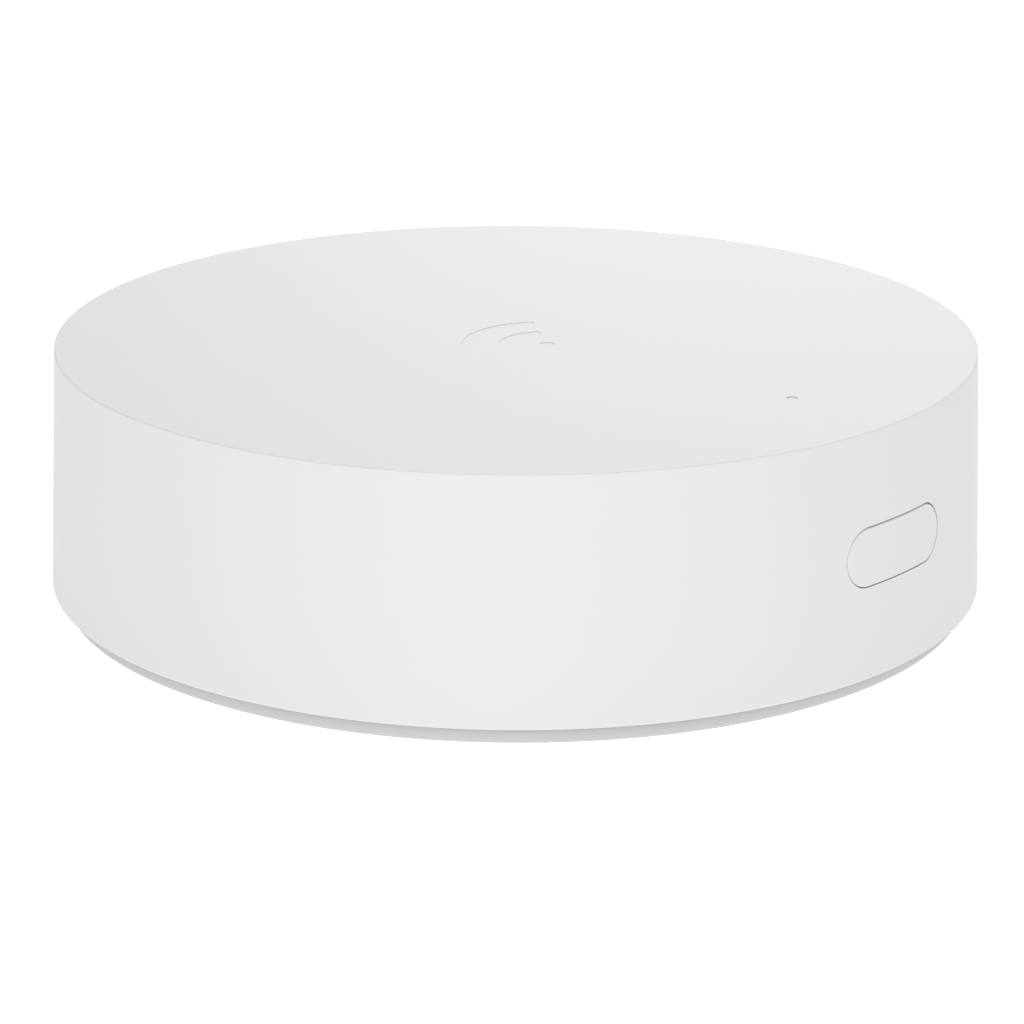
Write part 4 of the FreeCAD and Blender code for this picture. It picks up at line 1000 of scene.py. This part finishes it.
    def add_bosses(self, bm: bmesh.types.BMesh) -> None:
        """Add the screw bosses and the light pipe's sleeve under the roof.

        Args:
            bm: The bmesh to add to.
        """
        shape = self.shape
        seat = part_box("case_screws")[0].z + self.screw_reach
        for centre in places_on(shape.case_circle, CASE_TURNS):
            add_tube(bm, centre, *self.case_boss, seat, shape.post_top())
        for centre in places_on(self.board_circle, BOARD_TURNS):
            add_tube(bm, centre, *self.board_boss, shape.board_z, shape.post_top())
        add_tube(bm, (0.0, shape.light_y), *self.sleeve, shape.roof_z() - self.sleeve_drop, shape.post_top())

    def add_spring_posts(self, bm: bmesh.types.BMesh) -> None:
        """Add the two posts that carry the button's spring, each with its stake pin.

        Args:
            bm: The bmesh to add to.
        """
        low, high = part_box("button_spring")
        width, depth, drop = self.spring_post
        reach = high.x - self.post_inset
        for side in Side:
            middle = side * reach
            add_box(bm, (middle - width / 2, high.y, self.shape.button_z - drop),
                    (middle + width / 2, high.y + depth, self.shape.post_top()))
            add_peg(bm, middle, self.shape.button_z, self.stake, low.y, high.y + self.shape.post_embed)

    def add_antenna_holders(self, bm: bmesh.types.BMesh) -> None:
        """Add the slotted holders that grip the upper edge of each antenna strip.

        Args:
            bm: The bmesh to add to.
        """
        width, length, grip = self.holder
        for name in ("left_antenna", "right_antenna"):
            low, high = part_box(name)
            middle = (low.x + high.x) / 2
            slot = (high.x - low.x) / 2 + self.holder_fit
            for end in (-self.holder_spacing / 2, self.holder_spacing / 2):
                near, far = end - length / 2, end + length / 2
                add_box(bm, (middle - width / 2, near, high.z), (middle + width / 2, far, self.shape.post_top()))
                add_box(bm, (middle - width / 2, near, high.z - grip), (middle - slot, far, high.z))
                add_box(bm, (middle + slot, near, high.z - grip), (middle + width / 2, far, high.z))


@dataclass
class PillButton:
    """The button: a curved pill face flush with the wall, its flange and its peg.

    The face hangs a little low and to one side in its opening, by seat, as far as its clearance lets it.
    """

    shape: CaseShape
    length: float = 15.05 * MM
    height: float = 5.75 * MM
    edge_round: float = 0.14 * MM
    seat: tuple[float, float] = (0.02 * MM, -0.03 * MM)
    strips: int = 36
    flange: float = 1.1 * MM
    flange_gap: float = 0.1 * MM
    peg: float = 1.5 * MM

    def build(self) -> bpy.types.Object:
        """Build the button and dress it.

        Returns:
            The finished piece.
        """
        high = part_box("button_cap")[1]
        spring_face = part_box("button_spring")[0].y
        depth = spring_face + self.shape.lower_radius
        bm = bmesh.new()
        self.add_curved_pill(bm, self.length, self.height, depth, self.edge_round, self.shape.outer)
        bmesh.ops.translate(bm, verts=bm.verts, vec=(self.seat[0], 0, self.seat[1]))
        self.add_curved_pill(bm, self.length + 2 * self.flange, self.height + 2 * self.flange,
                             spring_face + self.shape.inner(self.shape.button_z), self.edge_round,
                             lambda height: self.shape.inner(height) - self.flange_gap)
        add_peg(bm, 0.0, self.shape.button_z, self.peg, spring_face, high.y)
        piece = finish_mesh("push_button", bm)
        even_normals(piece)
        return publish(piece, SHELL_PLASTIC, Body.BUTTON, "button_plastic", "button_cap")

    def add_curved_pill(self, bm: bmesh.types.BMesh, length: float, height: float, depth: float,
                        edge_round: float, radius_at: Callable[[float], float]) -> None:
        """Add a pill whose front follows a drafted wall and whose back is flat.

        Args:
            bm: The bmesh to add to.
            length: End to end.
            height: Top to bottom.
            depth: From the wall's middle to the flat back.
            edge_round: Round on the front edge.
            radius_at: Radius of the wall at a height.
        """
        part = bmesh.new()
        add_pill(part, length, height, 0.0, 0.0, depth)
        front = [edge for edge in part.edges if all(abs(vert.co.y) < WELD for vert in edge.verts)]
        bevel_edges(part, front, edge_round, 3)
        for strip in range(1, self.strips):
            cut = -length / 2 + length * strip / self.strips
            bmesh.ops.bisect_plane(part, geom=[*part.verts, *part.edges, *part.faces], dist=WELD / 10,
                                   plane_co=(cut, 0, 0), plane_no=(1, 0, 0))
        back = depth - self.shape.lower_radius
        for vert in part.verts:
            level = vert.co.z + self.shape.button_z
            if vert.co.y > edge_round + NEAR:
                vert.co.y = back
            else:
                vert.co.y -= math.sqrt(radius_at(level) ** 2 - vert.co.x ** 2)
            vert.co.z = level
        merge_into(bm, part)


@dataclass
class ButtonSpring:
    """The strip behind the button, in two halves that meet at the peg: staked outside, pushed back inside."""

    shape: CaseShape
    corner: float = 1.0 * MM
    hole: float = 1.75 * MM
    stake_hole: float = 0.75 * MM
    stake_inset: float = 1.4 * MM
    post_half: float = 1.3 * MM
    window: tuple[float, float] = (3.0 * MM, 2.2 * MM)
    flange_reach: float = 8.65 * MM
    spare: float = 1.0 * MM
    strips: int = 10

    def build(self) -> list[bpy.types.Object]:
        """Build the left half and the right half."""
        return [self.half(side) for side in Side]

    def half(self, side: Side) -> bpy.types.Object:
        """Build one half, its mesh divided into strips between its post and the button's flange.

        Args:
            side: Which half it is.

        Returns:
            The piece.
        """
        low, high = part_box("button_spring")
        held = high.x - self.stake_inset - self.post_half
        left, right = sorted((0.0, side * high.x))
        bm = bmesh.new()
        add_box(bm, (left, low.y, low.z), (right, high.y, high.z))
        corners = [edge for edge in edges_along_y(bm)
                   if all(abs(vert.co.x) > high.x - NEAR for vert in edge.verts)]
        bevel_edges(bm, corners, self.corner, 4)
        piece = finish_mesh(f"button_spring_{side.name.lower()}", bm)
        carve(piece, [self.cutter(side, low.y - self.spare, high.y + self.spare, held)])
        with editing(piece) as bm:
            for strip in range(self.strips + 1):
                cut = side * (held + (self.flange_reach - held) * strip / self.strips)
                bmesh.ops.bisect_plane(bm, geom=[*bm.verts, *bm.edges, *bm.faces], dist=WELD,
                                       plane_co=(cut, 0, 0), plane_no=(1, 0, 0))
        soften_shading(piece)
        height = self.shape.button_z
        ends = Vector((side * held, low.y, height)), Vector((side * self.flange_reach, low.y, height))
        return publish_bending(piece, SPRING_STEEL, Body.BUTTON, ends, "spring_steel", "button_spring")

    def cutter(self, side: Side, low_y: float, high_y: float, held: float) -> bmesh.types.BMesh:
        """Cutter of the peg's hole, the stake's hole and the window of one half.

        Args:
            side: Which half it is.
            low_y: Where the cutter starts.
            high_y: Where it ends.
            held: Distance from the middle to the post's near side.

        Returns:
            The cutter.
        """
        bm = bmesh.new()
        height = self.shape.button_z
        add_peg(bm, 0.0, height, self.hole, low_y, high_y)
        add_peg(bm, side * (held + self.post_half), height, self.stake_hole, low_y, high_y)
        part = bmesh.new()
        add_pill(part, *self.window, height, low_y, high_y)
        bmesh.ops.translate(part, verts=part.verts, vec=(side * (held - self.window[0] / 2), 0, 0))
        merge_into(bm, part)
        return bm


@dataclass
class SnapDome:
    """The switch's domed contact, which goes flat as the plunger comes in."""

    shape: CaseShape
    sheet: float = 0.1 * MM
    steps: int = 10

    def build(self) -> bpy.types.Object:
        """Spin the dome upright and lay it on its side.

        Returns:
            The finished piece.
        """
        low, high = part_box("switch_dome")
        radius, rise = (high.x - low.x) / 2, high.y - low.y - self.sheet
        turns = [math.pi / 2 * step / self.steps for step in range(self.steps + 1)]
        outside = [(radius * math.sin(turn), self.sheet + rise * math.cos(turn)) for turn in turns]
        inside = [((radius - self.sheet) * math.sin(turn), rise * math.cos(turn)) for turn in reversed(turns)]
        bm = bmesh.new()
        spin_outline(bm, [*outside, (radius, 0.0), *inside], POST_STEPS)
        bmesh.ops.rotate(bm, verts=bm.verts, matrix=Matrix.Rotation(math.pi / 2, 3, "X"))
        bmesh.ops.translate(bm, verts=bm.verts, vec=((low.x + high.x) / 2, high.y, self.shape.button_z))
        ends = Vector((0, high.y, self.shape.button_z)), Vector((0, low.y, self.shape.button_z))
        return publish_bending(finish_mesh("snap_dome", bm), SPRING_STEEL, Body.PLUNGER, ends, "spring_steel",
                               "switch_dome")


@dataclass
class BaseTray:
    """The base cover with its rim, spigot, foot groove and label recess, and the foot and label in them."""

    shape: CaseShape
    radius: float = 45.67 * MM
    edge_round: float = 0.5 * MM
    floor: float = 2.0 * MM
    rim_gap: float = 0.1 * MM
    spigot: tuple[float, float] = (44.6 * MM, 43.4 * MM)
    spigot_rise: float = 3.7 * MM
    ring: tuple[float, float] = (35.6 * MM, 42.4 * MM)
    ring_fit: float = 0.1 * MM
    ring_round: float = 0.4 * MM
    label_radius: float = 29.6 * MM
    label_fit: float = 0.4 * MM
    label_recess: float = 0.2 * MM
    label_film: float = 0.12 * MM
    label_border: float = 2.0 * MM
    label_line: tuple[float, float, float, float] = (-0.5 * MM, -0.3 * MM, 0.0, 0.2 * MM)
    notch: float = 33.0 * MM
    rear_notch: float = 15.0 * MM
    notch_reach: float = 5.0 * MM
    post_sink: float = 0.2 * MM
    case_pad: tuple[float, float] = (1.45 * MM, 4.0 * MM)
    pad_rise: float = 1.8 * MM
    spreader_post: tuple[float, float] = (0.95 * MM, 2.5 * MM)
    spreader_screw: float = 1.8 * MM

    def build(self) -> list[bpy.types.Object]:
        """Build the base, the foot ring and the label."""
        return [self.tray(), self.foot_ring(), self.label()]

    def tray(self) -> bpy.types.Object:
        """The moulded base.

        Returns:
            The finished piece.
        """
        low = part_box("base_cover")[0].z
        foot_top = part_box("foot_ring")[1].z
        rim_z = self.shape.low - self.rim_gap
        recess = self.label_radius + self.label_fit
        inner, outer = self.ring[0] - self.ring_fit, self.ring[1] + self.ring_fit
        outline = [(recess, low + self.label_recess), (recess, low), (inner, low), (inner, foot_top),
                   (outer, foot_top), (outer, low), (self.radius, low), (self.radius, rim_z),
                   (self.spigot[0], rim_z), (self.spigot[0], rim_z + self.spigot_rise),
                   (self.spigot[1], rim_z + self.spigot_rise), (self.spigot[1], low + self.floor)]
        bm = bmesh.new()
        spin_outline(bm, outline)
        bevel_edges(bm, ring_edges(bm, self.radius, low), self.edge_round, 5)
        bevel_edges(bm, ring_edges(bm, self.radius, rim_z), self.ring_fit, 2)
        for edge_radius in (recess, inner, outer):
            bevel_edges(bm, ring_edges(bm, edge_radius, low), self.label_recess / 2, 2)
        piece = finish_mesh("base_tray", bm)
        cutter = bmesh.new()
        for middle, width in ((-self.spigot[0], self.notch), (self.spigot[0], self.rear_notch)):
            add_box(cutter, (-width / 2, middle - self.notch_reach, low + self.floor),
                    (width / 2, middle + self.notch_reach, rim_z + 2 * self.spigot_rise))
        carve(piece, [cutter])
        with editing(piece) as bm:
            self.add_posts(bm, low)
        soften_shading(piece)
        even_normals(piece)
        return publish(piece, SHADED_BASE_PLASTIC, Body.HOUSING, "base_plastic", "base_cover")

    def add_posts(self, bm: bmesh.types.BMesh, low: float) -> None:
        """Add the screw pads and the heat spreader's two posts on the floor.

        Args:
            bm: The bmesh to add to.
            low: Height of the base's underside.
        """
        floor_z = low + self.floor
        for centre in places_on(self.shape.case_circle, CASE_TURNS):
            add_tube(bm, centre, *self.case_pad, floor_z - self.post_sink, floor_z + self.pad_rise)
        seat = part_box("heat_spreader")[0].z
        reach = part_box("spreader_screws")[1].x - self.spreader_screw
        for side in Side:
            add_tube(bm, (side * reach, 0.0), *self.spreader_post, floor_z - self.post_sink, seat)

    def foot_ring(self) -> bpy.types.Object:
        """The rubber ring.

        Returns:
            The finished piece.
        """
        low, high = (corner.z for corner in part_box("foot_ring"))
        inner, outer = self.ring
        bm = bmesh.new()
        spin_outline(bm, [(inner, high), (inner, low), (outer, low), (outer, high), (inner, high)])
        for radius in self.ring:
            bevel_edges(bm, ring_edges(bm, radius, low), self.ring_round, 5)
        return publish(finish_mesh("rubber_foot", bm), FOOT_RUBBER, Body.HOUSING, "foot_rubber", "foot_ring")

    def label(self) -> bpy.types.Object:
        """The blank label, with a thin pressed border.

        Returns:
            The finished piece.
        """
        low, high = (corner.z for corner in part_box("rating_label"))
        bm = bmesh.new()
        border = self.label_radius - self.label_border
        sunk = low + self.label_film / 3
        groove = [(border + step, height) for step, height in zip(self.label_line, (low, sunk, sunk, low))]
        edge = self.label_radius
        rim = [(edge - self.label_film / 3, low), (edge, sunk), (edge, high)]
        spin_outline(bm, [*groove, *rim])
        return publish(finish_mesh("blank_label", bm), LABEL_FILM, Body.HOUSING, "label_film", "rating_label")


@dataclass
class StatusLight:
    """The clear pipe that carries the status light up to the hole in the top."""

    shape: CaseShape
    tip: float = 0.5 * MM
    collar: float = 2.0 * MM
    stem: float = 1.2 * MM
    collar_height: float = 1.2 * MM
    edge: float = 0.12 * MM
    crown: tuple[float, float] = (0.8, 0.45)

    def build(self) -> bpy.types.Object:
        """Build the light pipe and dress it.

        Returns:
            The finished piece.
        """
        low, high = (corner.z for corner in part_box("light_pipe"))
        roof_z = self.shape.roof_z()
        collar_z = roof_z - self.collar_height
        edge = self.edge
        shoulder, crest = (self.tip * share for share in self.crown)
        outline = [(0.0, low), (self.stem - edge, low), (self.stem, low + edge), (self.stem, collar_z - edge),
                   (self.stem + edge, collar_z), (self.collar - edge, collar_z), (self.collar, collar_z + edge),
                   (self.collar, roof_z), (self.tip, roof_z), (self.tip, high - edge),
                   (shoulder, high - edge / 3), (crest, high), (0.0, high)]
        bm = bmesh.new()
        spin_outline(bm, outline, POST_STEPS, (0.0, self.shape.light_y))
        piece = finish_mesh("clear_light_pipe", bm)
        return publish(piece, CLEAR_ACRYLIC, Body.HOUSING, "clear_acrylic", "light_pipe")


@dataclass
class PowerSocket:
    """The small metal receptacle at the rear, with its tongue and contacts."""

    shape: CaseShape
    width: float = 7.5 * MM
    height: float = 2.5 * MM
    sheet: float = 0.3 * MM
    taper: float = 1.05 * MM
    corner: float = 0.45 * MM
    tongue_round: float = 0.08 * MM
    contact: float = 0.35 * MM
    contact_round: float = 0.02 * MM
    contact_count: int = 5

    def build(self) -> list[bpy.types.Object]:
        """Build shell, tongue and contacts."""
        return [self.metal_shell(), self.tongue(), self.contacts()]

    def metal_shell(self) -> bpy.types.Object:
        """Folded shell with rounded corners, open at its mouth.

        Returns:
            The finished piece.
        """
        low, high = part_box("power_socket_shell")
        middle = self.shape.socket_z
        half, rise = self.width / 2, self.height / 2
        corners = [(-half + self.taper, -rise), (half - self.taper, -rise), (half, 0.0), (half, rise),
                   (-half, rise), (-half, 0.0)]
        bm = bmesh.new()
        face = bm.faces.new([bm.verts.new((x, low.y, middle + z)) for x, z in corners])
        pushed = bmesh.ops.extrude_face_region(bm, geom=[face])
        moved = [item for item in pushed["geom"] if isinstance(item, bmesh.types.BMVert)]
        bmesh.ops.translate(bm, verts=moved, vec=(0, high.y - low.y, 0))
        bmesh.ops.recalc_face_normals(bm, faces=bm.faces)
        bevel_edges(bm, edges_along_y(bm), self.corner, 4)
        mouth = [item for item in bm.faces if item.calc_center_median().y > high.y - NEAR]
        bmesh.ops.inset_region(bm, faces=mouth, thickness=self.sheet, use_even_offset=True)
        least = self.width * self.height / 3
        inner = [item for item in bm.faces
                 if item.calc_center_median().y > high.y - NEAR and item.calc_area() > least]
        sunk = bmesh.ops.extrude_face_region(bm, geom=inner)
        moved = [item for item in sunk["geom"] if isinstance(item, bmesh.types.BMVert)]
        bmesh.ops.translate(bm, verts=moved, vec=(0, low.y - high.y + self.sheet, 0))
        bmesh.ops.delete(bm, geom=[item for item in inner if item.is_valid], context="FACES_ONLY")
        bmesh.ops.recalc_face_normals(bm, faces=bm.faces)
        lip = [edge for edge in bm.edges if all(abs(vert.co.y - high.y) < WELD for vert in edge.verts)]
        bevel_edges(bm, lip, self.sheet / 4, 2)
        piece = finish_mesh("socket_shell", bm)
        return publish(piece, NICKEL_SHEET, Body.HOUSING, "socket_steel", "power_socket_shell")

    def tongue(self) -> bpy.types.Object:
        """The black tongue that carries the contacts.

        Returns:
            The finished piece.
        """
        bm = bmesh.new()
        add_box(bm, *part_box("power_socket_tongue"), bevel=self.tongue_round)
        piece = finish_mesh("socket_tongue", bm)
        return publish(piece, BLACK_NYLON, Body.HOUSING, "socket_plastic", "power_socket_tongue")

    def contacts(self) -> bpy.types.Object:
        """Five gold contacts under the tongue.

        Returns:
            The finished piece.
        """
        low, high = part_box("power_socket_contacts")
        pitch = (high.x - low.x - self.contact) / (self.contact_count - 1)
        bm = bmesh.new()
        for step in range(self.contact_count):
            left = low.x + step * pitch
            add_box(bm, (left, low.y, low.z), (left + self.contact, high.y, high.z), bevel=self.contact_round)
        piece = finish_mesh("socket_contacts", bm)
        return publish(piece, GOLD_PLATE, Body.HOUSING, "contact_gold", "power_socket_contacts")


NODE_FINISHES: dict[str, Finish] = {
    "case_screws": SCREW_STEEL, "board_screws": SCREW_STEEL, "spreader_screws": SCREW_STEEL,
    "main_board": BOARD_MASK, "left_antenna": ANTENNA_MASK, "right_antenna": ANTENNA_MASK,
    "processor_chip": PACKAGE_EPOXY, "memory_chip": PACKAGE_EPOXY, "flash_chip": PACKAGE_EPOXY,
    "radio_chip": PACKAGE_EPOXY, "power_inductors": COIL_FERRITE, "can_capacitors": DRAWN_ALUMINIUM,
    "crystals": TINNED_SHEET, "small_passives": TAN_CERAMIC, "ceramic_antenna": WHITE_CERAMIC,
    "shield_frame": TINNED_SHEET, "shield_lid": TINNED_SHEET, "thermal_pad": SILICONE_PAD,
    "lower_thermal_pad": SILICONE_PAD, "heat_spreader": BRUSHED_ALUMINIUM, "antenna_connectors": GOLD_PLATE,
    "left_antenna_lead": LEAD_JACKET, "right_antenna_lead": LEAD_JACKET,
    "switch_base": BLACK_NYLON, "switch_cover": TINNED_SHEET,
    "switch_plunger": RED_NYLON, "status_led": LIGHT_RESIN, "light_shroud": FOAM,
}


def dress_frame_nodes() -> None:
    """Give every frame node that stays its own finish."""
    for name, finish in NODE_FINISHES.items():
        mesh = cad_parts[name].data
        mesh.materials.clear()
        mesh.materials.append(finish.material())
        LOG.info("%s: frame node, %s", name, finish.title)


# ---------------------------------------------------------------------------------------------------------------
# Studio


@dataclass(frozen=True)
class Softbox:
    """A square soft light that aims at the case, in degrees, metres and watts. Its turn starts at the camera."""

    name: str
    turn: float
    elevation: float
    distance: float
    size: float
    power: float

    def build(self, facing: float) -> None:
        """Build the light.

        Args:
            facing: Direction of the camera in radians, from which the light's turn is counted.
        """
        light = bpy.data.lights.new(self.name, "AREA")
        light.energy = self.power
        light.size = self.size
        holder = bpy.data.objects.new(self.name, light)
        bpy.context.scene.collection.objects.link(holder)
        azimuth, tilt = facing + math.radians(self.turn), math.radians(self.elevation)
        towards = Vector((math.sin(azimuth) * math.cos(tilt), -math.cos(azimuth) * math.cos(tilt), math.sin(tilt)))
        holder.location = towards * self.distance
        holder.rotation_euler = towards.to_track_quat("Z", "Y").to_euler()


SOFTBOXES = (
    Softbox("front_softbox", turn=-4.0, elevation=8.0, distance=1.2, size=0.5, power=5.2),
    Softbox("overhead_softbox", turn=165.0, elevation=66.0, distance=0.42, size=0.25, power=0.9),
    Softbox("rear_softbox", turn=172.0, elevation=16.0, distance=0.9, size=0.4, power=0.5),
)


@dataclass
class Studio:
    """Pale floor, soft lights and the camera."""

    shape: CaseShape
    azimuth: float = math.radians(-51.2)
    elevation: float = math.radians(15.54)
    distance: float = 423.8 * MM
    pitch: float = math.radians(17.91)
    pan: float = math.radians(0.048)
    roll: float = math.radians(0.214)
    lens: float = 148.6
    sensor: float = 36.0
    clip_start: float = 10 * MM
    floor_half: float = 6.0
    floor_gap: float = 0.05 * MM
    sky: float = 0.6

    def build(self) -> None:
        """Build floor, lights and camera."""
        self.add_floor()
        self.add_sky()
        for softbox in SOFTBOXES:
            softbox.build(self.azimuth)
        self.add_camera()

    def add_floor(self) -> None:
        """A plain pale floor, a hair under the foot."""
        bm = bmesh.new()
        bmesh.ops.create_grid(bm, x_segments=1, y_segments=1, size=self.floor_half,
                              matrix=Matrix.Translation((0, 0, -self.floor_gap)))
        floor = finish_mesh("floor", bm)
        floor.data.materials.append(OPAL_TABLE.material())

    def add_sky(self) -> None:
        """Even white light from all round."""
        world = bpy.data.worlds.new("studio")
        world.use_nodes = True
        world.node_tree.nodes["Background"].inputs["Color"].default_value = (1.0, 1.0, 1.0, 1.0)
        world.node_tree.nodes["Background"].inputs["Strength"].default_value = self.sky
        bpy.context.scene.world = world

    def add_camera(self) -> None:
        """The camera, a little above the case and looking down on it."""
        data = bpy.data.cameras.new("camera")
        data.sensor_width = self.sensor
        data.lens = self.lens
        data.clip_start = self.clip_start
        camera = bpy.data.objects.new("camera", data)
        bpy.context.scene.collection.objects.link(camera)
        back = Vector((0, -math.cos(self.elevation), math.sin(self.elevation))) * self.distance
        turn = Matrix.Rotation(self.azimuth, 4, "Z")
        place = turn @ back + Vector((0, 0, self.shape.high))
        aim = (Matrix.Rotation(self.azimuth + self.pan, 4, "Z")
               @ Matrix.Rotation(math.pi / 2 - self.pitch, 4, "X") @ Matrix.Rotation(self.roll, 4, "Z"))
        camera.matrix_world = Matrix.Translation(place) @ aim
        bpy.context.scene.camera = camera
        bpy.context.scene.view_settings.view_transform = "Standard"


def main() -> None:
    """Build every sub-assembly, then the studio."""
    logging.basicConfig(level=logging.INFO, format="%(name)s: %(message)s")
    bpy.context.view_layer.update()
    shape = CaseShape()
    TopShell(shape).build()
    PillButton(shape).build()
    ButtonSpring(shape).build()
    SnapDome(shape).build()
    BaseTray(shape).build()
    StatusLight(shape).build()
    PowerSocket(shape).build()
    dress_frame_nodes()
    Studio(shape).build()
    bpy.context.view_layer.update()


if __name__ == "__main__":
    main()
